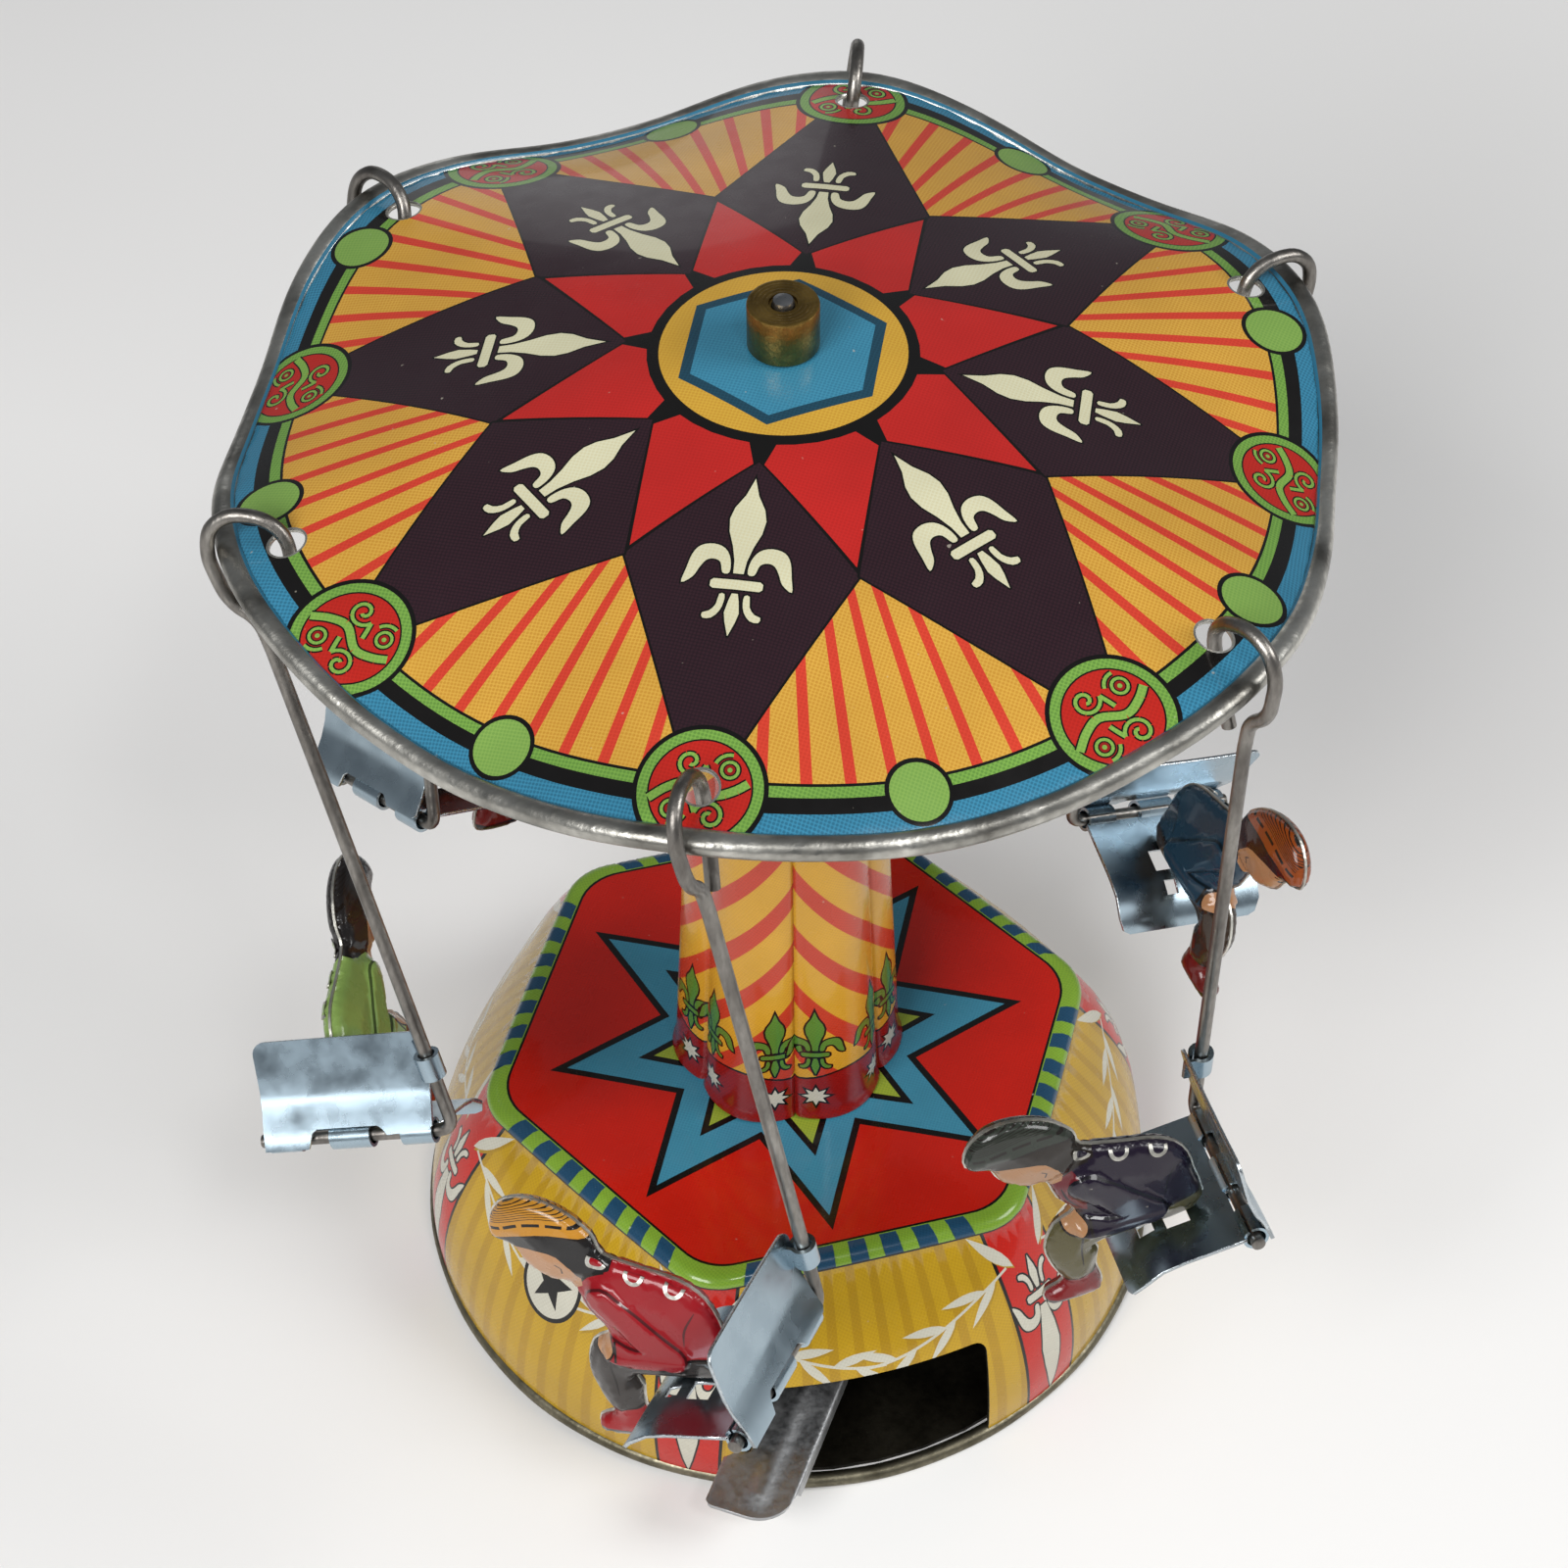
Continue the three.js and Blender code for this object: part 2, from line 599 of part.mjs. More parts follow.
function hangerWire(bends) {
  const eyeCurve = new THREE.CatmullRomCurve3(EYE.map(([x, z]) => new THREE.Vector3(x, 0, z)));
  const eye = eyeCurve.getPoints(EYE.length + 3);
  const corner = new THREE.Vector3(WIRE.legX, 0, -WIRE.leg);
  const along = new THREE.Vector3(1, 0, 0).transformDirection(seatFrame(bends));
  const above = corner.clone().add(new THREE.Vector3(0, 0, WIRE.bend));
  const beyond = corner.clone().addScaledVector(along, WIRE.bend);
  const bend = new THREE.QuadraticBezierCurve3(above, corner, beyond).getPoints(3);
  const end = corner.clone().addScaledVector(along, WIRE.bar);
  return tube([...eye, ...bend, end], WIRE.radius, WIRE.sides);
}

// a ring round the X axis between two places along the bar
function knuckle([x0, x1]) {
  const { outer, inner } = KNUCKLE;
  const ring = revolve([[inner, x0], [outer, x0], [outer, x1], [inner, x1]], 8);
  return ring.rotateY(Math.PI / 2);
}

// the seat board's side view: flat, then a lip that curves down
function boardGeometry() {
  const { depth, thick, lip, lipFrom, from, to } = SEAT;
  const steps = 4;
  const top = [[-1.4, thick / 2]];
  for (let i = 0; i <= steps; i += 1) {
    const along = i / steps;
    top.push([-(lipFrom + (depth - lipFrom) * along), thick / 2 - lip * along ** 2]);
  }
  const under = top.map(([y, z]) => [y, z - thick]).reverse();
  // drawn in Y-Z, then run along X
  return plate([...top, ...under], from, to).rotateX(Math.PI / 2).rotateZ(Math.PI / 2);
}

function windowsBetweenKnuckles() {
  const [first, second, third] = KNUCKLE.spans;
  const openings = [[first[1], second[0]], [second[1], third[0]]];
  return openings.map(([x0, x1]) => block(x0, x1, -3, 2, -2, 3.2));
}

// a small ring round the wire's leg, with a strap back to the seat's upright
function legLoop(bends) {
  const toSeat = seatFrame(bends).invert();
  const along = new THREE.Vector3(0, 0, 1).transformDirection(toSeat);
  const middle = along.clone().multiplyScalar(LEG_LOOP.at / along.z);
  const lean = new THREE.Quaternion().setFromUnitVectors(new THREE.Vector3(0, 0, 1), along);
  const { outer, inner, height } = LEG_LOOP;
  const half = height / 2;
  const ring = revolve([[inner, -half], [outer, -half], [outer, half], [inner, half]], 8);
  ring.applyQuaternion(lean).translate(middle.x, middle.y, middle.z);
  const reach = Math.hypot(SEAT.from + 0.6 - middle.x, middle.y);
  const strap = block(inner + 0.25, reach, -SEAT.thick / 2, SEAT.thick / 2, -half, half);
  strap.rotateZ(Math.atan2(-middle.y, SEAT.from + 0.6 - middle.x));
  return [ring, strap.translate(middle.x, middle.y, middle.z)];
}

function seat(bends) {
  const { from, to, back, thick } = SEAT;
  const upright = block(from, to, -thick / 2, thick / 2, 1.4, back);
  const slots = SLOT_X.flatMap((x) => SEAT_SLOTS.map(([forward, size]) => {
    return block(x - size / 2, x + size / 2, -forward - size / 2, -forward + size / 2, -3, 2);
  }));
  const sheet = cut(join(upright, boardGeometry()), ...slots);
  const knuckles = KNUCKLE.spans.map(knuckle);
  const root = block(from, to, -thick / 2, thick / 2, 1.2, 3.4);
  return cut(join(sheet, root, ...knuckles, ...legLoop(bends)), ...windowsBetweenKnuckles());
}

// one pressed half of a rider; side is -1 for the half nearer the spindle, 1 for the outer half
function riderHalf(side) {
  const shape = new THREE.Shape(RIDER_OUTLINE.map(([forward, up]) => new THREE.Vector2(forward, up)));
  const { x, half, bevel, split } = RIDER;
  const depth = 2 * (half - bevel);
  const options = { depth, bevelThickness: bevel, bevelSize: bevel, bevelOffset: -bevel, bevelSegments: 1 };
  const figure = new THREE.ExtrudeGeometry(shape, options).translate(0, 0, -depth / 2);
  // drawn as forward-up, so that forward becomes -Y and up becomes +Z
  figure.rotateX(Math.PI / 2).rotateZ(-Math.PI / 2).translate(x, 0, 0);
  const [near, far] = side > 0 ? [x - 9, x + split] : [x - split, x + 9];
  return cut(figure, block(near, far, -40, 9, -20, 40));
}

// turns what it holds about a point at the foot of the figure's joint line
function stance({ nod, lean, aside, lift }) {
  const turned = new THREE.Group();
  const about = new THREE.Vector3(RIDER.x, -STANCE_FORWARD, 0);
  turned.rotation.set(rad(nod), rad(lean), 0, 'YXZ');
  turned.position.copy(about).sub(about.clone().applyEuler(turned.rotation));
  turned.position.x += aside;
  turned.position.z += lift;
  return turned;
}

function rider(i) {
  const number = i + 1;
  const place = new THREE.Group();
  const frame = seatFrame(HANGERS[i]);
  frame.decompose(place.position, place.quaternion, place.scale);
  const tin = material(JACKETS[i], 0.3, 0.1);
  place.add(part(`seat_${number}`, seat(HANGERS[i]), SEAT_TIN));
  const figure = stance(STANCES[i]);
  figure.add(part(`rider_${number}_inner_half`, riderHalf(-1), tin));
  figure.add(part(`rider_${number}_outer_half`, riderHalf(1), tin));
  return place.add(figure);
}

function hanger(i) {
  const { twist, sway, swing } = HANGERS[i];
  const hanging = new THREE.Group();
  hanging.position.copy(hookPlace(i));
  // about Z, then along the rim, then away from the spindle
  hanging.rotation.set(rad(sway), rad(-swing), hookAngle(i) + rad(twist), 'ZXY');
  hanging.add(part(`hanger_${i + 1}`, hangerWire(HANGERS[i]), DARK_STEEL));
  hanging.add(rider(i));
  return hanging;
}

// ---- assembly -----------------------------------------------------------------------------
function stand() {
  const group = new THREE.Group();
  group.add(part('base_shell', baseShell(), LITHO_YELLOW));
  group.add(part('base_floor', baseFloor(), BARE_TIN));
  group.add(part('post_shell', postShell(), LITHO_RED));
  group.add(part('lower_bearing', lowerBearing(), BRASS));
  group.add(part('upper_bearing', upperBearing(), BRASS));
  group.add(part('gear_bridge', gearBridge(), STEEL));
  PILLAR_ANGLES.forEach((angle, i) => group.add(part(`bridge_pillar_${i + 1}`, pillar(angle), STEEL)));
  return group;
}

function carousel() {
  const group = new THREE.Group();
  group.add(part('spindle', spindle(), STEEL));
  group.add(part('clutch_collar', clutchCollar(), STEEL));
  group.add(part('flywheel', flywheel(), DARK_STEEL));
  group.add(part('canopy_bush', canopyBush(), BRASS));
  group.add(part('canopy', canopy(), LITHO_CANOPY));
  group.add(part('hub_nut', hubNut(), BRASS));
  HANGERS.forEach((_, i) => group.add(hanger(i)));
  return group;
}

function driveTrain() {
  const group = new THREE.Group();
  group.add(part('drive_pinion', drivePinion(), BRASS));
  group.add(part('clutch_spring', clutchSpring(), SPRING_STEEL));
  const atPivot = new THREE.Group();
  atPivot.position.set(PIVOT.x, PIVOT.y, 0);
  atPivot.add(part('lever_pivot', leverPivot(), STEEL));
  atPivot.add(part('return_spring', returnSpring(), SPRING_STEEL));
  const leverFrame = new THREE.Group();
  leverFrame.rotation.z = rad(LEVER.angle);
  leverFrame.add(part('lever', lever(), DARK_STEEL));
  leverFrame.add(part('sector_gear', sectorGear(), STEEL));
  leverFrame.add(part('lever_stop', leverStop(), STEEL));
  RIVETS.forEach((x, i) => {
    const rivet = part(`lever_rivet_${i + 1}`, leverRivet(), BRASS);
    rivet.position.x = x;
    leverFrame.add(rivet);
  });
  atPivot.add(leverFrame);
  group.add(atPivot);
  return group;
}

const toy = new THREE.Group();
toy.add(stand(), carousel(), driveTrain());

export default toy;
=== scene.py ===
"""Looks of the tinplate carousel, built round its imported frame.

Shapes are worked out in millimetres and made in metres. Angles are in degrees about +Z.
"""

import math

import bmesh
import bpy
import numpy as np
from mathutils import Matrix, Vector
from mathutils.geometry import delaunay_2d_cdt


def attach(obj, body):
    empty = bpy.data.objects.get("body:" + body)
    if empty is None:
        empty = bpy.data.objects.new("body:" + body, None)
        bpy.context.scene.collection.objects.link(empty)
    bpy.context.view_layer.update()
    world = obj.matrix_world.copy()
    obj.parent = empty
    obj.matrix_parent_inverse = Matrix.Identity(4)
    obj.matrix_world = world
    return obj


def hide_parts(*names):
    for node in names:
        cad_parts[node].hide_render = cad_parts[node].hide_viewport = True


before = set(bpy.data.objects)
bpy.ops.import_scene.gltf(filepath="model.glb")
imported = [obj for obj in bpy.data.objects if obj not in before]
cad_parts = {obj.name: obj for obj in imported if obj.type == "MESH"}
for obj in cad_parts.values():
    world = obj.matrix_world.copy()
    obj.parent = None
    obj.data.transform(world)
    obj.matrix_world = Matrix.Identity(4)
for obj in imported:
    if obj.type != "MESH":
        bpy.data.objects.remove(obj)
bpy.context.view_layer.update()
MM = 0.001
SIDES = 6

# ---- the part's own dimensions -----------------------------------------------------------
BASE_HEIGHT, BASE_FLAT, BASE_FOOT, CORNER_ROUND = 36.2, 39.3, 54.9, 8.0
FACE_BULGE, CORNER_BULGE = 4.2, 3.9
POST_FOOT, POST_TAPER, POST_TOP, CREASE, LOBE_DEPTH = 16.6, 0.051, 160.0, 259.7, 0.11
HOOK_FIRST, HOOK_RADIUS = 246.93, 62.1
WIRE_LEG_X, WIRE_LEG, WIRE_BEND, WIRE_BAR, WIRE_RADIUS = 6.6, 85.2, 2.2, 27.2, 0.9
EYE = [(3.9, -12.4), (1.6, -6.5), (0.2, -2), (0.2, 1), (2, 3.4), (5.5, 4.6), (8.5, 3.4), (9.9, 0.3),
       (9.9, -3), (9.6, -5.2), (8.8, -7), (7.6, -8.5), (6.85, -10.3), (6.6, -13.5)]
# twist, sway, swing, bar twist, bar tilt and seat pitch of each hanger
HANGERS = [(-5, 10.5, 1, -7, 12, 12), (-12, 1, -1, -27, 13, 13), (4, -6, -21.5, 2, 4.5, 23),
           (5, 6, -8, 0, 5, 10), (-8, 20, -25, -5, 11, 6), (-28.5, 17, -17, -5.5, 2, 20)]
# backward nod, sideways lean, shift aside and lift of each figure, about the foot of its joint line
STANCES = [(0, 0, 0, 0), (-1, 7, 2, 0.5), (-10, -6, -2, 1.6), (0, 0, 0, 0), (0, 0, 0, 0), (-15, 6, 0, 2.6)]
STANCE_FORWARD = 12
PIVOT = (15.106, -10.151)
LEVER_ANGLE = 235.4
DOME_TOP, DOME_DROP, DOME_RADIUS, DOME_CURVE = 170, 12.2, 62, 1.68
RIM_WIDEN, RIM_RISE = 0.9, 1.8  # how far the rim moves out and up at the hooks, and back between them


def rad(degrees):
    return math.radians(degrees)


# ---- camera --------------------------------------------------------------------------------
CAMERA_PLACE, LENS = (-79.93, -310.51, 443.32), 79.91
CAMERA_FORWARD, CAMERA_UP = (0.1674, 0.6526, -0.7390), (0.1900, 0.7141, 0.6737)


def make_camera():
    forward, up = Vector(CAMERA_FORWARD), Vector(CAMERA_UP)
    data = bpy.data.cameras.new("camera")
    data.sensor_width = 36
    data.lens = LENS
    data.clip_start = 0.01
    camera = bpy.data.objects.new("camera", data)
    bpy.context.scene.collection.objects.link(camera)
    turn = Matrix((forward.cross(up).normalized(), up, -forward)).transposed().to_4x4()
    camera.matrix_world = Matrix.Translation(Vector(CAMERA_PLACE) * MM) @ turn
    bpy.context.scene.camera = camera


make_camera()


# ---- materials -----------------------------------------------------------------------------
def linear(code):
    """A linear colour from a six-digit sRGB code."""
    parts = [int(code[i:i + 2], 16) / 255 for i in (0, 2, 4)]
    return [*((c / 12.92 if c < 0.04045 else ((c + 0.055) / 1.055) ** 2.4) for c in parts), 1.0]


class Shade:
    """A short way to write one material's nodes."""

    def __init__(self, name):
        self.material = bpy.data.materials.new(name)
        self.material.use_nodes = True
        self.tree = self.material.node_tree
        self.shader = self.tree.nodes["Principled BSDF"]

    def node(self, kind, sockets=(), **settings):
        made = self.tree.nodes.new("ShaderNode" + kind)
        for key, value in settings.items():
            setattr(made, key, value)
        for key, value in dict(sockets).items():
            self.put(made.inputs[key], value)
        return made

    def put(self, socket, value):
        if isinstance(value, bpy.types.NodeSocket):
            self.tree.links.new(value, socket)
        else:
            socket.default_value = value

    def set(self, **sockets):
        for key, value in sockets.items():
            self.put(self.shader.inputs[key.replace("_", " ")], value)

    def where(self):
        return self.node("TexCoord").outputs["Object"]

    def noise(self, scale, detail=3.0, vector=None, **extra):
        vector = vector or self.where()
        sockets = {"Vector": vector, "Scale": scale, "Detail": detail, **extra}
        return self.node("TexNoise", sockets).outputs["Fac"]

    def ramp(self, value, low, high, out_low=0.0, out_high=1.0):
        sockets = {"Value": value, "From Min": low, "From Max": high, "To Min": out_low, "To Max": out_high}
        return self.node("MapRange", sockets).outputs["Result"]

    def mix(self, factor, a, b):
        mixer = self.node("Mix", data_type="RGBA")
        for socket, value in zip((mixer.inputs[0], mixer.inputs[6], mixer.inputs[7]), (factor, a, b)):
            self.put(socket, value)
        return mixer.outputs[2]

    def bump(self, height, strength, distance):
        sockets = {"Height": height, "Strength": strength, "Distance": distance}
        self.set(Normal=self.node("Bump", sockets).outputs["Normal"])


made_materials = {}


def once(name, build):
    if name not in made_materials:
        made_materials[name] = build(name)
    return made_materials[name]


def litho(code, dots=None, amount=0.5, pitch=0.44, rough=0.26):
    """Printed tin: an ink colour, halftone dots of a second ink, worn specks and a gloss varnish."""

    def build(name):
        shade = Shade(name)
        colour = linear(code)
        art = shade.node("Attribute", attribute_name="art").outputs["Vector"]
        clouds = shade.ramp(shade.noise(90, 2), 0.3, 0.7)
        dark = [c * 0.86 for c in colour[:3]] + [1.0]
        ink = shade.mix(clouds, dark, colour)
        if dots:
            turned = shade.node("Mapping", {"Vector": art, "Rotation": (0, 0, rad(32))}).outputs["Vector"]
            grid = shade.node("TexVoronoi", {"Vector": turned, "Scale": 1 / pitch, "Randomness": 0.0},
                              voronoi_dimensions="2D").outputs["Distance"]
            ink = shade.mix(shade.ramp(grid, 0.28, 0.5, amount, 0.0), ink, linear(dots))
        specks = shade.ramp(shade.noise(900, 1), 0.8, 0.84, 0.0, 0.5)
        shade.set(Base_Color=shade.mix(specks, ink, linear("b9b2a2")))
        shade.set(Roughness=shade.ramp(shade.noise(260, 4), 0.3, 0.7, rough - 0.05, rough + 0.08))
        shade.set(Specular_IOR_Level=0.25, Coat_Weight=0.4, Coat_Roughness=0.06)
        shade.bump(shade.noise(45, 2), 0.35, 0.0012)
        return shade.material

    return once(f"litho_{code}_{dots}_{int(amount * 100)}", build)


def tin(name, code, dull, rough=0.3, grime=0.5, scale=160, streaks=(1, 1, 1), pits=0.3):
    """Bare metal: bright and dull patches, fine streaks, grime and small pits."""

    def build(key):
        shade = Shade(key)
        shade.set(Metallic=1.0)
        stretched = shade.node("Mapping", {"Vector": shade.where(), "Scale": streaks}).outputs["Vector"]
        patches = shade.ramp(shade.noise(scale, 5, stretched), 0.35, 0.68)
        fine = shade.noise(scale * 7, 4, stretched)
        metal_colour = shade.mix(shade.ramp(fine, 0.3, 0.75, 0, 0.4), linear(code), linear(dull))
        dirt = shade.node("Math", {0: patches, 1: grime}, operation="MULTIPLY").outputs[0]
        shade.set(Base_Color=shade.mix(dirt, metal_colour, linear(dull)))
        shade.set(Roughness=shade.ramp(fine, 0.25, 0.75, rough - 0.07, rough + 0.14))
        shade.bump(shade.noise(scale * 4, 4, stretched), pits, 0.0003)
        return shade.material

    return once(name, build)


BARE = tin("bare_tin", "e4e2da", "8a877d", 0.4, 0.6, 220, pits=0.5)
RIM_TIN = tin("rim_tin", "d8d6ce", "4c4943", 0.34, 0.9, 90, pits=0.8)
SEAT = tin("seat_tin", "a9bac4", "8fa1ad", 0.24, 0.4, 30, pits=0.03)
SEAT_EDGE = tin("seat_edge", "cfd6da", "8b969c", 0.25, 0.3, 300)
WIRE = tin("wire_steel", "9b9791", "4a4541", 0.34, 0.7, 260, (1, 1, 0.3))
LEVER = tin("lever_steel", "bcbdbe", "868789", 0.42, 0.3, 120, pits=0.4)
BRASS = tin("aged_brass", "b08f4c", "4a3a1c", 0.33, 0.7, 330)
STEEL = tin("plain_steel", "a5a6a8", "5a5a5c", 0.33, 0.5, 240)
IRON = tin("cast_iron", "4a4a4c", "2b2a29", 0.5, 0.5, 400)
BEAD = tin("foot_bead", "8a8471", "3d392c", 0.4, 0.7, 200)
DARK_TIN = tin("dark_tin", "3b372e", "15130e", 0.5, 0.7, 120)
INSIDE = tin("raw_inside", "59564c", "2a2820", 0.5, 0.7, 120)


# ---- outlines in the plane -----------------------------------------------------------------
def arc(x, y, radius, start, end, steps):
    angles = np.radians(np.linspace(start, end, steps + 1))
    return np.stack([x + radius * np.cos(angles), y + radius * np.sin(angles)], 1)


def disc(x, y, radius, steps=40):
    return arc(x, y, radius, 0, 360 - 360 / steps, steps - 1)


def polar(radius, angle):
    return np.array([radius * math.cos(rad(angle)), radius * math.sin(rad(angle))])


def placed(points, angle, shift=0.0):
    """Turns (across, outward) points so that outward runs along angle, shift further out."""
    out, across = polar(1, angle), polar(1, angle + 90)
    points = np.asarray(points, float)
    return np.outer(points[:, 1] + shift, out) + np.outer(points[:, 0], across)


def directions(path):
    """The unit direction of a path at each of its points."""
    along = np.gradient(path, axis=0)
    return along / np.linalg.norm(along, axis=1)[:, None]


def ease(t):
    """A soft step from 0 to 1 while t goes from 0 to 1."""
    return t * t * (3 - 2 * t)


def anticlockwise(outline):
    x, y = outline[:, 0], outline[:, 1]
    clockwise = np.sum(x * np.roll(y, -1) - y * np.roll(x, -1)) < 0
    return outline[::-1] if clockwise else outline


def stroke(path, width, ends=None):
    """The outline of a line of the given width; ends tapers it to that share of its width."""
    path = np.asarray(path, float)
    along = directions(path)
    side = np.stack([-along[:, 1], along[:, 0]], 1)
    share = np.ones(len(path))
    if ends is not None:
        t = np.linspace(0, 1, len(path))
        share = ends + (1 - ends) * np.sin(np.pi * t) ** 0.6
    offset = side * (width / 2 * share)[:, None]
    return np.concatenate([path + offset, (path - offset)[::-1]])


def apart(points):
    """A closed outline without the points that repeat the one before."""
    points = np.asarray(points, float)
    return points[np.linalg.norm(points - np.roll(points, 1, 0), axis=1) > 1e-6]


def divided(outline, reach):
    """A closed outline with its long edges cut into equal shorter ones."""
    out = []
    for a, b in zip(outline, np.roll(outline, -1, 0)):
        count = int(np.linalg.norm(b - a) / reach) + 1
        out.append(a + (b - a) * np.arange(count)[:, None] / count)
    return np.concatenate(out)


def inset(points, depth):
    """A closed outline moved inward; a negative depth moves it outward."""
    points = anticlockwise(apart(points))
    before, after = points - np.roll(points, 1, 0), np.roll(points, -1, 0) - points
    n1 = np.stack([-before[:, 1], before[:, 0]], 1) / np.linalg.norm(before, axis=1)[:, None]
    n2 = np.stack([-after[:, 1], after[:, 0]], 1) / np.linalg.norm(after, axis=1)[:, None]
    bisector = n1 + n2
    reach = depth / np.maximum(np.sum(bisector * n1, 1), 0.12)
    return points + bisector * reach[:, None]


def mirrored(half):
    half = np.asarray(half, float)
    return apart(np.concatenate([half, (half * [-1, 1])[::-1]]))


def star(count, tip, valley, first):
    points = [polar((tip, valley)[i % 2], first + 180 / count * i) for i in range(2 * count)]
    return np.array(points)


PETAL = [(0, -15), (0.75, -12.5), (1.75, -10.6), (2.12, -9), (1.9, -7.2), (1.2, -5.2), (0.72, -3.2),
         (0.6, -1.5)]
LOW_PETAL = [(0.35, 1.2), (0.6, 2.2), (0.85, 3.8), (0.6, 5), (0.02, 6.8)]
CROSSBAR = [(2.7, -0.65), (3.05, -0.35), (3.05, 0.35), (2.7, 0.65)]
SIDE_PETAL = [(1.05, -1.6), (1.2, -3.4), (2.0, -4.8), (3.4, -5.35), (4.9, -5.0), (5.7, -3.8), (6.1, -1.8),
              (6.4, 0.1), (5.2, -0.7), (4.6, -2.0), (4.0, -3.0), (3.2, -3.3), (2.3, -2.9), (1.85, -1.5)]
SIDE_LEAF = [(1.15, 1.4), (1.75, 1.4), (1.95, 2.8), (2.6, 3.7), (3.35, 4.0), (3.2, 4.7), (2.2, 4.6),
             (1.4, 3.6), (1.1, 2.4)]


def blend(a, b, c, d, t):
    """The Catmull-Rom curve between b and c, at t from 0 to 1."""
    square, cube = 2 * a - 5 * b + 4 * c - d, 3 * b - a - 3 * c + d
    return 0.5 * (2 * b + (c - a) * t + square * t ** 2 + cube * t ** 3)


def smooth(points, steps=3):
    """A closed smooth curve through the points."""
    p = np.asarray(points, float)
    around = np.roll(p, 1, 0), p, np.roll(p, -1, 0), np.roll(p, -2, 0)
    return np.stack([blend(*around, t) for t in np.arange(steps) / steps], 1).reshape(-1, 2)


def curve(knots, per=6):
    """An open smooth curve through the knots."""
    k = np.asarray(knots, float)
    k = np.concatenate([[2 * k[0] - k[1]], k, [2 * k[-1] - k[-2]]])
    out = [blend(*k[i - 1:i + 3], t) for i in range(1, len(k) - 2) for t in np.arange(per) / per]
    return np.array([*out, k[-2]])


def lily():
    """A heraldic lily: long petal towards -Y, crossbar on the X axis."""
    shapes = [mirrored(PETAL), mirrored(LOW_PETAL), mirrored(CROSSBAR)]
    for side in (1, -1):
        shapes += [smooth(np.array(SIDE_PETAL) * [side, 1]), smooth(np.array(SIDE_LEAF) * [side, 1], 2)]
    return shapes


# ---- printed sheets ------------------------------------------------------------------------
HOLE = "hole"


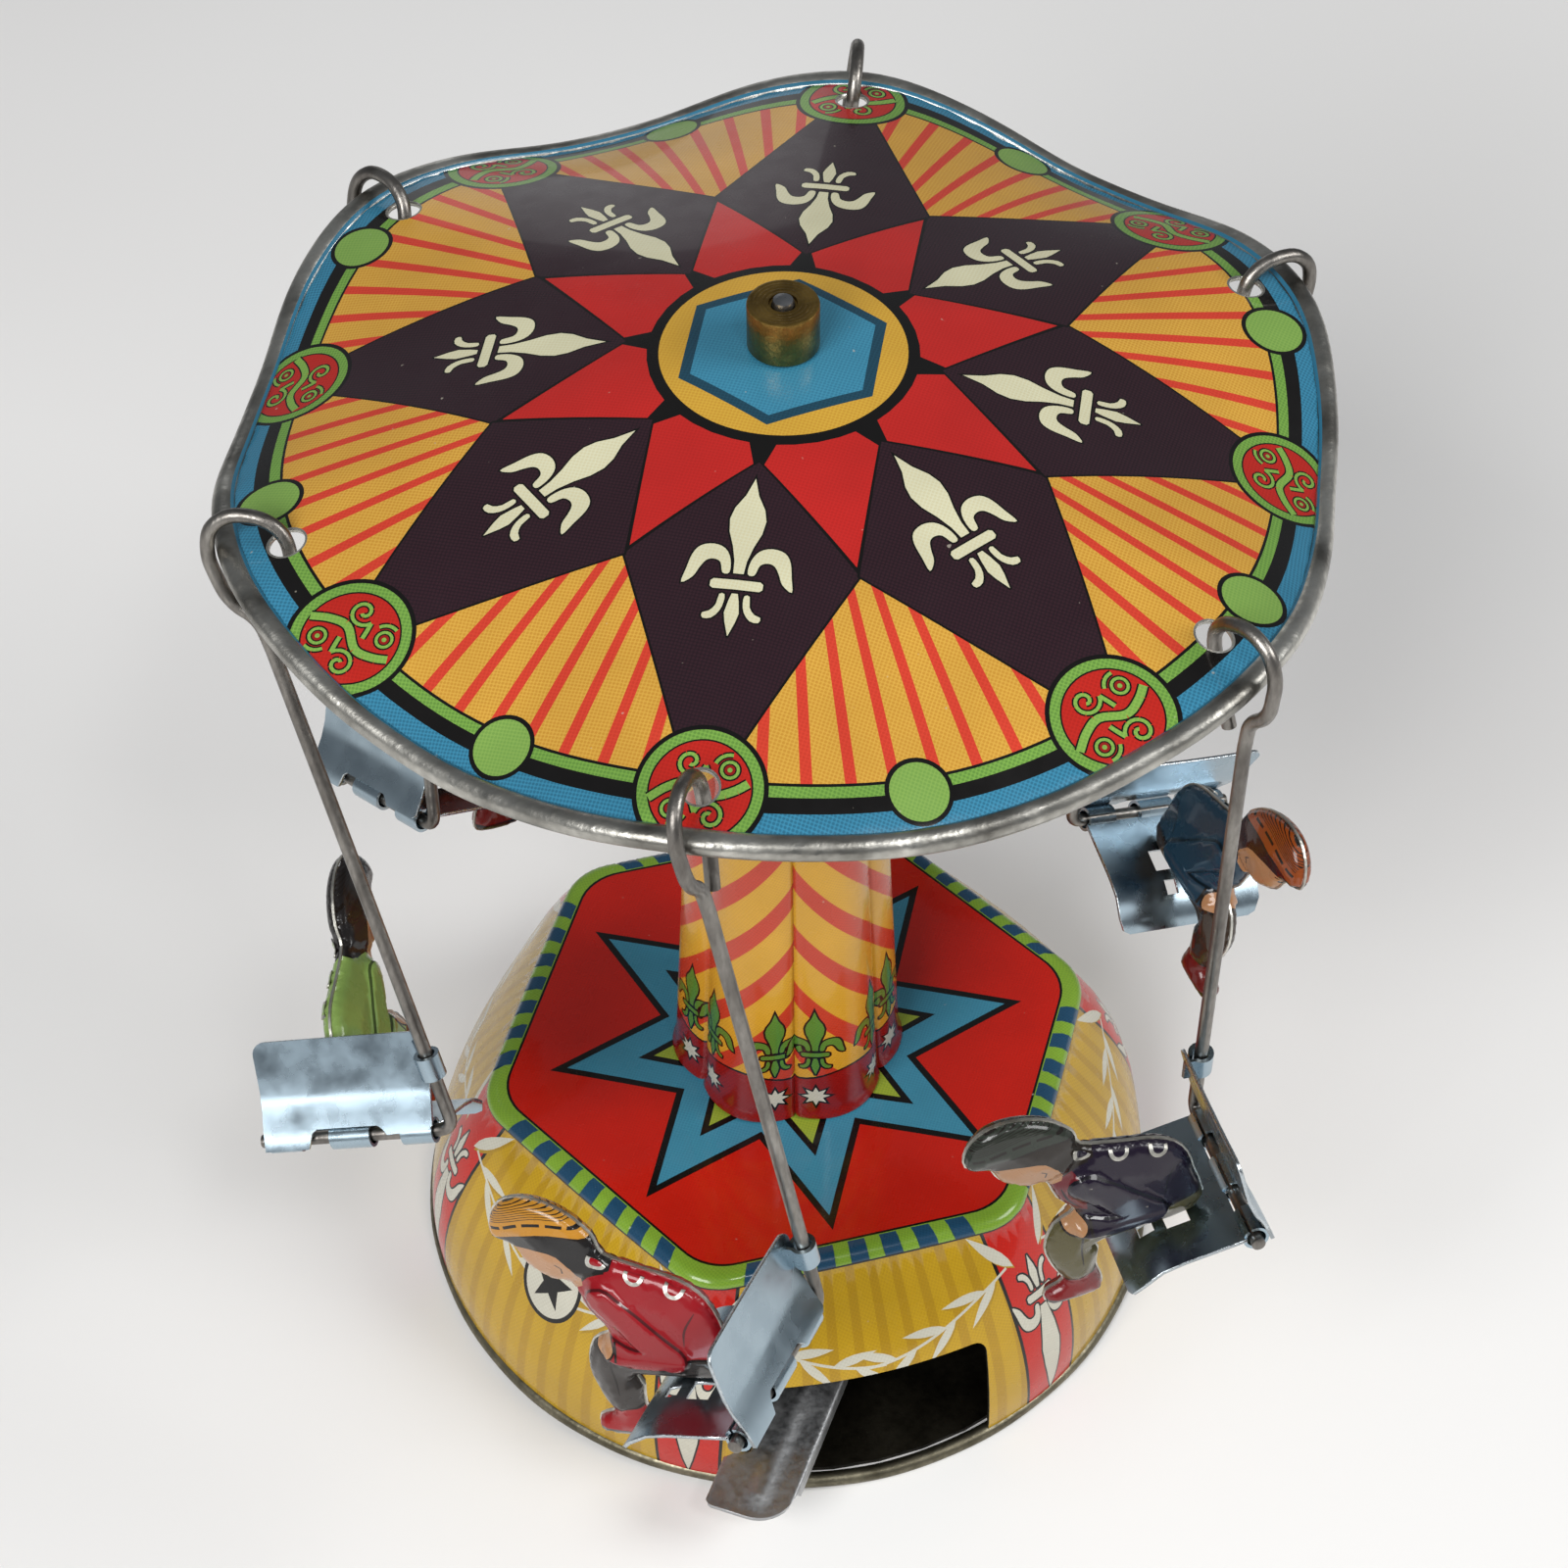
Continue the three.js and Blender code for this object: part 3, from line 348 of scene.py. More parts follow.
class Sheet:
    """Flat artwork, painted layer on layer, that is then laid on a curved surface."""

    def __init__(self, ground, colour, reach=3.0):
        """reach is the longest straight edge that the curved surface can carry."""
        self.layers = [(colour, apart(ground))]
        self.reach = reach
        self.lines = []
        self.points = []

    def paint(self, colour, *outlines):
        for outline in outlines:
            self.layers.append((colour, apart(outline)))

    def edged(self, colour, edge, width, *outlines):
        """Paints outlines with a line of another colour round each."""
        self.paint(edge, *(inset(outline, -width) for outline in outlines))
        self.paint(colour, *outlines)

    def cut(self, *outlines):
        self.paint(HOLE, *outlines)

    def triangles(self):
        coords, faces, edges = [], [], []
        for _, outline in self.layers:
            outline = anticlockwise(divided(outline, self.reach))
            faces.append(list(range(len(coords), len(coords) + len(outline))))
            coords.extend(outline)
        for a, b in self.lines:
            count = int(math.dist(a, b) / self.reach) + 1
            edges += [(len(coords) + k, len(coords) + k + 1) for k in range(count)]
            coords.extend(np.linspace(a, b, count + 1))
        coords.extend(self.points)
        result = delaunay_2d_cdt([Vector(p) for p in coords], edges, faces, 1, 1e-5)
        kept, owners = [], []
        for corners, origins in zip(result[2], result[5]):
            if 0 not in origins:
                continue
            owner = self.layers[max(origins)][0]
            if owner is not HOLE:
                kept.append(corners)
                owners.append(owner)
        used, kept = np.unique(np.array(kept), return_inverse=True)
        return np.array([tuple(v) for v in result[0]])[used], kept.reshape(-1, 3), owners

    def lay(self, name, surface, thick, back, edge=None, flip=False):
        """Lays the sheet on surface(points) -> places and gives it a thickness, inward if positive.

        flip is for a surface that takes the artwork mirrored, so that its print still faces out."""
        flat, tris, owners = self.triangles()
        centre = flat[tris].mean(1, keepdims=True)
        inner = (flat[tris] * 0.97 + centre * 0.03).reshape(-1, 2)
        step = 0.01
        across = surface(inner + [step, 0]) - surface(inner - [step, 0])
        upward = surface(inner + [0, step]) - surface(inner - [0, step])
        normals = np.cross(across, upward)
        normals /= np.linalg.norm(normals, axis=1)[:, None]
        if flip:
            tris = tris[:, ::-1]
            inner = inner.reshape(-1, 3, 2)[:, ::-1].reshape(-1, 2)
            normals = -normals.reshape(-1, 3, 3)[:, ::-1].reshape(-1, 3)
        places = surface(flat)
        _, first, same = np.unique(np.round(places, 3), axis=0, return_index=True, return_inverse=True)
        same = same.reshape(-1)
        tris = same[tris]
        whole = (tris[:, 0] != tris[:, 1]) & (tris[:, 1] != tris[:, 2]) & (tris[:, 2] != tris[:, 0])
        keep_corner = np.repeat(whole, 3)
        tris, normals, inner = tris[whole], normals[keep_corner], inner[keep_corner]
        owners = [o for o, w in zip(owners, whole) if w]
        top = places[first]
        count = len(top)
        vertex_normal = np.zeros_like(top)
        np.add.at(vertex_normal, tris.reshape(-1), normals)
        vertex_normal /= np.maximum(np.linalg.norm(vertex_normal, axis=1), 1e-9)[:, None]
        under = top - vertex_normal * thick
        halves = np.sort(np.concatenate([tris[:, [0, 1]], tris[:, [1, 2]], tris[:, [2, 0]]]), axis=1)
        directed = np.concatenate([tris[:, [0, 1]], tris[:, [1, 2]], tris[:, [2, 0]]])
        _, index, uses = np.unique(halves, axis=0, return_index=True, return_counts=True)
        rim = directed[index[uses == 1]]
        faces = [tuple(t) for t in tris] + [tuple(t[::-1] + count) for t in tris]
        faces += [(b, a, a + count, b + count) for a, b in rim]
        palette = sorted(set(owners))
        slots = [palette.index(o) for o in owners]
        slots += [len(palette)] * len(tris) + [len(palette) + 1] * len(rim)
        materials = [made_materials[key] for key in palette] + [back, edge or back]
        made = new_object(name, np.concatenate([top, under]), faces, materials, slots)
        corner_normals = np.zeros((len(made.data.loops), 3))
        corner_normals[:len(normals)] = normals
        backs = -vertex_normal[tris[:, ::-1]].reshape(-1, 3)
        corner_normals[len(normals):len(normals) + len(backs)] = backs
        made.data.normals_split_custom_set([tuple(n) for n in corner_normals])
        art = made.data.attributes.new("art", "FLOAT_VECTOR", "CORNER")
        values = np.zeros((len(made.data.loops), 3), np.float32)
        values[:len(inner), :2] = inner
        art.data.foreach_set("vector", values.reshape(-1))
        return made


def new_object(name, places, faces, materials, slots=None, sharp=None):
    mesh = bpy.data.meshes.new(name)
    vertices = [tuple(p) for p in np.asarray(places) * MM]
    mesh.from_pydata(vertices, [], [tuple(int(i) for i in f) for f in faces])
    for material in materials:
        mesh.materials.append(material)
    if slots is not None:
        mesh.polygons.foreach_set("material_index", slots)
    mesh.polygons.foreach_set("use_smooth", [True] * len(mesh.polygons))
    made = bpy.data.objects.new(name, mesh)
    bpy.context.scene.collection.objects.link(made)
    if sharp is not None:
        mesh.set_sharp_from_angle(angle=rad(sharp))
    return made


def moved(places, matrix):
    matrix = np.array(matrix)
    return np.asarray(places) @ matrix[:3, :3].T + matrix[:3, 3]


def keep(piece, body, slot, *nodes):
    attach(piece, body)
    if nodes:
        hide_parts(*nodes)


def ring_points(radii, steps):
    return [polar(r, 360 * (k + 0.5 * (i % 2)) / steps) for i, r in enumerate(radii) for k in range(steps)]


def grid_points(x0, x1, dx, y0, y1, dy):
    points = []
    for j, y in enumerate(np.arange(y0, y1, dy)):
        points += [np.array([x + 0.5 * dx * (j % 2), y]) for x in np.arange(x0, x1, dx)]
    return points


# ---- turned and tubular pieces ---------------------------------------------------------------
def turned(name, profile, steps, materials, slots=None, warp=None, sharp=40):
    """A closed [radius, height] profile turned about Z; slots gives each profile edge's material."""
    angles = np.linspace(0, 2 * np.pi, steps, endpoint=False)
    count = len(profile)
    places = []
    for angle in angles:
        for r, z in profile:
            r, z = warp(math.degrees(angle), r, z) if warp else (r, z)
            places.append((r * math.cos(angle), r * math.sin(angle), z))
    faces, owners = [], []
    for i in range(steps):
        for j in range(count):
            a, b = i * count + j, i * count + (j + 1) % count
            c, d = ((i + 1) % steps) * count + (j + 1) % count, ((i + 1) % steps) * count + j
            faces.append((a, d, c, b))
            owners.append(slots[j] if slots else 0)
    return new_object(name, places, faces, materials, owners, sharp)


def bands(rings, count):
    """The faces between rings of count vertices each."""
    faces = []
    for i in range(rings - 1):
        for k in range(count):
            a, b = i * count + k, i * count + (k + 1) % count
            faces.append((a, b, b + count, a + count))
    return faces


def tube(path, radius, sides):
    """Vertices and faces of a round tube along a path, closed with rounded ends."""
    path = np.asarray(path, float)
    along = directions(path)
    side = np.cross(along[0], [0.3, 0.9, 0.2])
    places = []
    for p, t in zip(path, along):
        side = side - t * np.dot(side, t)
        side /= np.linalg.norm(side)
        other = np.cross(t, side)
        for k in range(sides):
            angle = 2 * np.pi * k / sides
            places.append(p + radius * (side * math.cos(angle) + other * math.sin(angle)))
    rings = len(path)
    faces = bands(rings, sides)
    places += [path[0] - along[0] * radius * 0.4, path[-1] + along[-1] * radius * 0.4]
    for k in range(sides):
        last = (rings - 1) * sides
        faces.append((rings * sides, (k + 1) % sides, k))
        faces.append((rings * sides + 1, last + k, last + (k + 1) % sides))
    return np.array(places), faces


def merged(parts):
    """Several (places, faces) as one."""
    places, faces, start = [], [], 0
    for p, f in parts:
        places.append(p)
        faces += [tuple(i + start for i in face) for face in f]
        start += len(p)
    return np.concatenate(places), faces


# ---- canopy --------------------------------------------------------------------------------
def dome(r):
    return DOME_TOP - DOME_DROP * (r / DOME_RADIUS) ** DOME_CURVE


def rim_wave(places):
    """The rim dips and widens a little at each hook."""
    r = np.hypot(places[:, 0], places[:, 1])
    angle = np.degrees(np.arctan2(places[:, 1], places[:, 0]))
    wave = np.cos(np.radians(SIDES * (angle - HOOK_FIRST)))
    grow = 1 + RIM_WIDEN * wave * (r / DOME_RADIUS) ** 6 / np.maximum(r, 1)
    out = places.copy()
    out[:, :2] *= grow[:, None]
    out[:, 2] += RIM_RISE * wave * (r / DOME_RADIUS) ** 3
    return out


def dome_place(flat):
    r = np.hypot(flat[:, 0], flat[:, 1])
    places = np.column_stack([flat, dome(r)])
    rolled = r > 66.2
    places[rolled, 2] -= 0.35 * ((r[rolled] - 66.2) / 1.2) ** 2
    return rim_wave(places)


YELLOW = ("cfa042", "a86f1c", 0.5)
RED = ("cc3f2c", "9a2418", 0.3)
CREAM = ("cfcdae", "b9a878", 0.3)
PURPLE = ("23141b", "3b2028", 0.4)
GREEN = ("74a045", "3f682c", 0.5)
BLUE = ("3881a0", "1b4a60", 0.55)


OUTLINE_INK = "0d0b0a"


def ink(*what):
    return litho(*what).name


def ribbon(path, width, step=3):
    """A curling line as short straight pieces, so that none crosses itself."""
    return [stroke(path[k:k + step + 1], width) for k in range(0, len(path) - step, step)]


def scrolls():
    """The scrollwork inside a roundel: a waving band, a volute in each half and two ringed dots."""

    def volute(cx, cy, turn):
        t = np.linspace(0, 1, 25)
        r = 1.75 * (0.16 + 0.84 * t)
        a = np.radians(turn + 450 * (1 - t))
        return np.stack([cx + r * np.cos(a), cy + r * np.sin(a)], 1)

    band = curve([(-5.5, 1.5), (-3.6, 0.1), (-1.4, -0.6), (1.4, 0.6), (3.6, -0.1), (5.5, -1.5)], 5)
    spiral = volute(1.5, 3.0, 190)
    link = curve([spiral[-1], (-0.7, 1.6), (-1.3, 0.0)], 4)
    lines = [(band, 0.95), (spiral, 0.42), (link, 0.5), (-spiral, 0.42), (-link, 0.5)]
    lines += [(arc(-2.9, 2.5, 1.75, 20, 120, 8), 0.4), (arc(2.9, -2.5, 1.75, 200, 300, 8), 0.4)]
    return lines, [(-2.9, 2.5), (2.9, -2.5)]


LILY_RADIUS, ROUNDEL_RADIUS, BEAD_RADIUS = 36.75, 62.3, 67.95


def canopy_art():
    black, green, yellow, red = ink(OUTLINE_INK), ink(*GREEN), ink(*YELLOW), ink(*RED)
    axes = [HOOK_FIRST + 45 * k for k in range(8)]
    between = [axis + 22.5 for axis in axes]
    art = Sheet(disc(0, 0, 67.35, 240), ink(*BLUE))
    for radius, colour in ((64.5, black), (62.65, green), (61.35, black), (61.0, yellow)):
        art.paint(colour, disc(0, 0, radius, 180))
    for axis in between:
        for turn in (-16.45, -11.75, -7.05, -2.35, 2.35, 7.05, 11.75, 16.45):
            wedge = [(-0.5, 30), (-0.675, 61.0), (0.675, 61.0), (0.5, 30)]
            art.paint(red, placed(wedge, axis + turn))
    for axis in between:
        x, y = polar(62.7, axis)
        art.paint(black, disc(x, y, 4.05, 36))
        art.paint(ink("7fa34e", "4d7a35", 0.35), disc(x, y, 3.5, 36))
    purple, cream = ink(*PURPLE), ink(*CREAM)
    bright = ink("b92420", "8e1a16", 0.3)
    for axis in axes:
        kite = [polar(19.3, axis), polar(35.8, axis + 22.5), polar(65, axis), polar(35.8, axis - 22.5)]
        art.edged(purple, black, 0.28, kite)
    for axis in axes:
        rim = [polar(15.5, axis + turn) for turn in (48, 40, 30, 22.5, 15, 5, -3)]
        art.paint(black, [polar(19.3, axis), polar(35.8, axis + 22.5), polar(19.3, axis + 45), *rim])
        cell = [polar(19.6, axis + 1.9), polar(34.6, axis + 22.5), polar(19.6, axis + 43.1),
                *[polar(16.5, axis + a) for a in (39.4, 32, 22.5, 13, 5.6)]]
        art.paint(bright, cell)
    for axis in axes:
        art.paint(black, *(placed(inset(shape, -0.22), axis, LILY_RADIUS) for shape in lily()))
        art.paint(cream, *(placed(shape, axis, LILY_RADIUS) for shape in lily()))
    art.paint(black, disc(0, 0, 15.95, 96))
    art.paint(ink("caa03a", "a8701f", 0.4), disc(0, 0, 15.05, 96))
    hexagon = np.array([polar(13.5, HOOK_FIRST + 60 * k) for k in range(6)])
    art.paint(ink("1d4456", "122c3a", 0.4), hexagon)
    art.paint(ink("3d86a2", "245a76", 0.45), hexagon * 12 / 13.5)
    lines, dots = scrolls()
    leaf_green, deep_red = ink("7fa84a", "4f7f34", 0.35), ink("8a1814", None)
    scarlet = ink("b5231a", "84150f", 0.3)
    for axis in axes:
        x, y = polar(ROUNDEL_RADIUS, axis)
        rings = ((7.5, 56, black), (6.95, 56, green), (5.8, 48, black), (5.6, 48, scarlet))
        for radius, steps, colour in rings:
            art.paint(colour, disc(x, y, radius, steps))
        for grow, colour in ((0.2, black), (0, leaf_green)):
            for line, width in lines:
                for piece in ribbon(line, width + 2 * grow):
                    art.paint(colour, placed(piece, axis, ROUNDEL_RADIUS))
            for dx, dy in dots:
                art.paint(colour, placed(disc(dx, dy, 1.1 + grow, 18), axis, ROUNDEL_RADIUS))
        for radius, colour in ((0.75, black), (0.6, deep_red), (0.28, leaf_green)):
            for dx, dy in dots:
                art.paint(colour, placed(disc(dx, dy, radius, 14), axis, ROUNDEL_RADIUS))
    for k in range(SIDES):
        x, y = polar(HOOK_RADIUS, HOOK_FIRST + 60 * k)
        art.paint("bare_tin", disc(x, y, 2.3, 28))
        art.cut(disc(x, y, 2.05, 28))
    art.cut(disc(0, 0, 2.0, 32))
    art.points = ring_points([20, 26, 32, 38, 44, 50, 55, 59.5, 63.5, 65.5, 66.3], 84)
    return art


def make_canopy():
    art = canopy_art()
    sheet = art.lay("canopy_print", dome_place, 0.6, INSIDE, BARE)
    keep(sheet, "carousel", "canopy_print", "canopy")
    # the print reaches over the first strip of the bead only
    profile = arc(BEAD_RADIUS, dome(BEAD_RADIUS) - 0.55, 1.5, 140, 140 - 342, 19)
    slots = [0] + [1] * 19

    def wave(angle, r, z):
        c = math.cos(rad(SIDES * (angle - HOOK_FIRST)))
        wobble = 0.06 * math.sin(rad(angle * 11)) + 0.05 * math.sin(rad(angle * 23 + 40))
        out = r + RIM_WIDEN * c * (r / DOME_RADIUS) ** 5 + wobble
        return out, z + RIM_RISE * c * (r / DOME_RADIUS) ** 3 + wobble * 0.5

    bead = turned("canopy_bead", profile, 240, [litho(*BLUE), RIM_TIN], slots, wave, sharp=80)
    keep(bead, "carousel", "canopy_print")


# ---- base ------------------------------------------------------------------------------------
HEX_CORNER = (BASE_FLAT - CORNER_ROUND) / math.cos(rad(30)) + CORNER_ROUND


def turn_from(angle, first, step):
    """How far an angle lies from the nearest of first, first + step and so on."""
    return (np.asarray(angle) - first + step / 2) % step - step / 2


def face_radius(z):
    u = np.clip(z / BASE_HEIGHT, 0, 1)
    return BASE_FLAT + (BASE_FOOT - BASE_FLAT) * (1 - u) + 4 * FACE_BULGE * u * (1 - u)


def hex_radius(angle):
    """The rounded hexagon's radius at an angle, for a flat at BASE_FLAT."""
    away = np.abs(turn_from(angle, 270, 60))
    straight = BASE_FLAT / np.cos(np.radians(away))
    centre = (BASE_FLAT - CORNER_ROUND) / math.cos(rad(30))
    off = np.radians(30 - away)
    inside = np.maximum(CORNER_ROUND ** 2 - (centre * np.sin(off)) ** 2, 0)
    rounded = centre * np.cos(off) + np.sqrt(inside)
    tangent = math.degrees(math.atan2((BASE_FLAT - CORNER_ROUND) * math.tan(rad(30)), BASE_FLAT))
    return np.where(away > tangent, rounded, straight)


def cornerness(angle):
    return (hex_radius(angle) - BASE_FLAT) / (HEX_CORNER - BASE_FLAT)


def corner_reach(z):
    u = np.clip(z / BASE_HEIGHT, 0, 1)
    top, foot = HEX_CORNER, BASE_FOOT
    return top + (foot - top) * (1 - u) + 4 * CORNER_BULGE * u * (1 - u) - face_radius(z)


def base_warp(angle, r, z):
    share = np.minimum(r / face_radius(z), 1)
    return r + cornerness(angle) * corner_reach(z) * share, z


FLAT_STEP = 0.8  # artwork millimetres per degree round the base
SEAM = 90
RIM_BAND, SIDE_TOP = 34.9, 34.4
BASE_RED, BASE_YELLOW = ("bd1c0e", "9a120a", 0.35), ("bb9519", "967012", 0.35)
BASE_BLUE, BASE_GREEN = ("3f87a0", "2a6078", 0.4), ("7fa233", "54802a", 0.4)
BASE_WHITE = ("c6c3b4", "a39c84", 0.25)
BLOCK_BLUE = ("1f4763", "16334a", 0.4)
BADGE_ANGLE, BADGE_HEIGHT, TOP_STAR_ANGLE, TOP_EDGE = 211, 23, 265.7, 37.9


def round_axis(r, angle, z):
    """Places from radii, angles in degrees and heights."""
    return np.column_stack([r * np.cos(np.radians(angle)), r * np.sin(np.radians(angle)), z])


def base_place(flat):
    """Artwork on the side: up the side, over the shoulder and a little way onto the flat top."""
    angle, v = flat[:, 0] / FLAT_STEP, flat[:, 1]
    side = face_radius(SIDE_TOP)
    over = np.clip((v - SIDE_TOP) / 2.9, 0, 1) * np.pi / 2
    r = np.where(v < SIDE_TOP, face_radius(v), side - 1.97 * (1 - np.cos(over)))
    z = np.where(v < SIDE_TOP, v, SIDE_TOP + 1.8 * np.sin(over))
    r = np.where(v > SIDE_TOP + 2.9, 38.9 - (v - SIDE_TOP - 2.9), r)
    r, z = base_warp(angle, r, z)
    return round_axis(r, angle, z)


def on_side(points, angle, height=0.0):
    """(across, up) artwork, in true millimetres, centred at an angle of the base."""
    points = np.asarray(points, float)
    radius = face_radius(np.clip(points[:, 1] + height, 0, 36)) * 1.02
    degrees = np.degrees(points[:, 0] / radius)
    return np.column_stack([(angle + degrees) * FLAT_STEP, points[:, 1] + height])


def rows(low, high, x0, x1, count=2):
    bottom = np.column_stack([np.linspace(x0, x1, count), np.full(count, low)])
    top = np.column_stack([np.linspace(x1, x0, count), np.full(count, high)])
    return np.concatenate([bottom, top])


def leaf(x, y, angle, length, width):
    t = np.linspace(0, 1, 7)
    half = width / 2 * np.sin(np.pi * t ** 0.8)
    outline = [*np.column_stack([t * length, half]), *np.column_stack([t * length, -half])[-2:0:-1]]
    c, s = math.cos(rad(angle)), math.sin(rad(angle))
    return np.array(outline) @ np.array([[c, s], [-s, c]]) + [x, y]


def garland():
    """One face's swag: a stem from each corner that droops to the middle, with leaves in pairs."""
    stems, leaves = [], []
    for side in (1, -1):
        t = np.linspace(0, 1, 15)
        x, y = side * (20.5 - 22.0 * t), 29.2 - 7.9 * np.sin(np.pi / 2 * t) ** 0.9
        stems.append(np.column_stack([x, y]))
        for k, fan in ((1, 24), (2, -24), (5, 24), (6, -24), (9, 24), (11, -24)):
            slope = math.degrees(math.atan2(y[k + 1] - y[k], x[k + 1] - x[k]))
            leaves.append(leaf(x[k], y[k], slope + fan, 6.8, 1.3))
        leaves.append(leaf(side * 21.6, 29.0, 90 + side * 50, 8.5, 1.5))
    return stems, leaves


def window_cut():
    """The lever's window in the front wall, worked out in X-Z and carried to the artwork."""
    left, right, low, high, corner = -19.8, 16.6, 2.2, 20.3, 2.0
    edge = [(left, z) for z in np.linspace(high - corner - 2, low, 5)]
    edge += [(x, low) for x in np.linspace(left, right, 12)[1:]]
    edge += [(right, z) for z in np.linspace(low, high - corner - 2, 5)[1:]]
    edge += list(arc(right - corner, high - corner, corner, 0, 90, 5))
    edge += [(x, high) for x in np.linspace(right - corner, left + corner, 10)[1:-1]]
    edge += list(arc(left + corner, high - corner, corner, 90, 180, 5))
    out = []
    for x, z in edge:
        angle = 270.0
        for _ in range(12):
            r, _ = base_warp(angle, face_radius(z), z)
            angle = 270 + math.degrees(math.asin(x / float(r)))
        out.append((angle * FLAT_STEP, z))
    return np.array(out)


def six_times(first):
    """An angle repeated every 60 degrees over the side sheet, with the ones its seam cuts at both ends."""
    return [first + 60 * k for k in range(-8, 9) if SEAM - 36 < first + 60 * k < SEAM + 396]


def base_art():
    black = ink(OUTLINE_INK)
    yellow = ink(*BASE_YELLOW)
    x0, x1 = SEAM * FLAT_STEP, (SEAM + 360) * FLAT_STEP
    ground = rows(0.9, 38.3, x0, x1, 241)
    ground = np.concatenate([ground[:241], [(x1, v) for v in (12, 24, SIDE_TOP)], ground[241:],
                             [(x0, v) for v in (SIDE_TOP, 24, 12)]])
    art = Sheet(ground, yellow)
    wide = (x0 - 5, x1 + 5)
    second = ink("ad8617", "8c6a10", 0.35)
    for k in range(80):
        middle = (SEAM + 4.5 * k + 2) * FLAT_STEP
        art.paint(second, rows(2.0, RIM_BAND, middle - 0.7, middle + 0.7))
    red, cream = ink(*BASE_RED), ink(*BASE_WHITE)
    for corner in six_times(240):
        art.paint(black, on_side(rows(-1, RIM_BAND, -4.75, 4.75), corner))
        art.paint(red, on_side(rows(-1, RIM_BAND, -4.3, 4.3), corner))
        lily_shapes = [np.array(s) * [0.76, 0.92] for s in lily()]
        spike = mirrored([(0, 2), (0.7, 5), (1.5, 9.5), (1.8, 13), (1.3, 17), (0.6, 21)])
        for depth, colour in ((-0.28, black), (0, cream)):
            art.paint(colour, on_side(inset(spike, depth), corner))
            for shape in lily_shapes[1:]:
                art.paint(colour, on_side(inset(shape, depth), corner, 23))
    green, blue = ink(*BASE_GREEN), ink(*BLOCK_BLUE)
    stems, leaves = garland()
    for face in six_times(270):
        for leaf_shape in leaves:
            art.paint(ink("a8841c", "8a6616", 0.3), on_side(leaf_shape + [0.25, -0.3], face))
        for stem in stems:
            art.paint(cream, on_side(stroke(stem, 0.4), face))
        for leaf_shape in leaves:
            art.paint(cream, on_side(leaf_shape, face))
    for shape, colour in ((disc(0, 0, 5.65, 44), black), (disc(0, 0, 5.0, 40), cream),
                          (star(5, 3.9, 1.6, 90), black)):
        art.paint(colour, on_side(shape + [0, BADGE_HEIGHT], BADGE_ANGLE))
    art.paint(green, rows(RIM_BAND, 40, *wide))
    art.paint(black, rows(RIM_BAND - 0.35, RIM_BAND, *wide))
    for face in six_times(270):
        for j in range(7):
            angle = face + (j - 3) * 6.95
            art.paint(blue, rows(RIM_BAND, 40, (angle - 1.85) * FLAT_STEP, (angle + 1.85) * FLAT_STEP))
    art.cut(window_cut())
    art.points = grid_points(x0 + 1.2, x1 - 0.5, 1.6, 3, 34, 3.4)
    art.points += grid_points(x0 + 0.6, x1 - 0.3, 1.2, 34.7, 37.6, 0.55)
    return art


def make_base():
    finish_works()
    side = base_art().lay("base_side_print", base_place, 0.55, INSIDE)
    keep(side, "stand", "base_print", "base_shell")
    angles = SEAM + 1.5 * np.arange(240)
    r, _ = base_warp(angles, np.full(240, TOP_EDGE), BASE_HEIGHT)
    outline = np.column_stack([r * np.cos(np.radians(angles)), r * np.sin(np.radians(angles))])
    black = ink(OUTLINE_INK)
    art = Sheet(outline, ink(*BASE_GREEN))
    art.paint(black, outline * (37.75 / TOP_EDGE))
    art.paint(ink(*BASE_RED), outline * (37.4 / TOP_EDGE))
    olive = ink("93a234", "66802a", 0.4)
    for tip, valley, line, colour in ((35.6, 19.4, 1.0, ink(*BASE_BLUE)), (22.4, 12.6, 0.95, olive)):
        shape = star(8, tip, valley, TOP_STAR_ANGLE)
        art.paint(black, shape)
        art.paint(colour, inset(shape, line))
    art.cut(disc(0, 0, 9, 48))
    art.points = ring_points([13, 18, 23, 28, 33], 60)

    def level(flat):
        dip = 0.12 * np.exp(-((np.hypot(flat[:, 0], flat[:, 1]) - 19) / 5) ** 2)
        return np.column_stack([flat, BASE_HEIGHT - dip])

    top = art.lay("base_top_print", level, 0.55, INSIDE)
    keep(top, "stand", "base_print")

    def wave(angle, r, z):
        return r + 0.07 * math.sin(rad(angle * 7 + 20)) + 0.04 * math.sin(rad(angle * 19)), z

    bead = turned("foot_bead", disc(BASE_FOOT - 0.35, 1.2, 1.15, 16), 220, [BEAD], None, wave, sharp=80)
    keep(bead, "stand", "base_print")


# ---- post ------------------------------------------------------------------------------------
POST_STEP = 0.27  # artwork millimetres per degree round the post
POST_FOOT_Z = BASE_HEIGHT + 0.3
POST_YELLOW, CRIMSON = ("c8982a", "a87420", 0.4), ("b93a22", "8c2414", 0.35)
LEFT_DROP = 3.4  # the stripes left of the front crease sit this much lower than those right of it


def lobe(angle):
    away = turn_from(angle, CREASE, 60)
    groove = 0.035 * np.exp(-np.abs(away) / 1.1)
    return 1 - LOBE_DEPTH * (1 - np.sin(np.pi * np.abs(away) / 60)) - groove


def post_place(flat):
    angle, z = flat[:, 0] / POST_STEP, flat[:, 1]
    flare = 0.5 * np.exp(-((z - POST_FOOT_Z) / 0.9) ** 2)
    r = (POST_FOOT - POST_TAPER * (z - BASE_HEIGHT) + flare) * lobe(angle)
    return round_axis(r, angle, z)


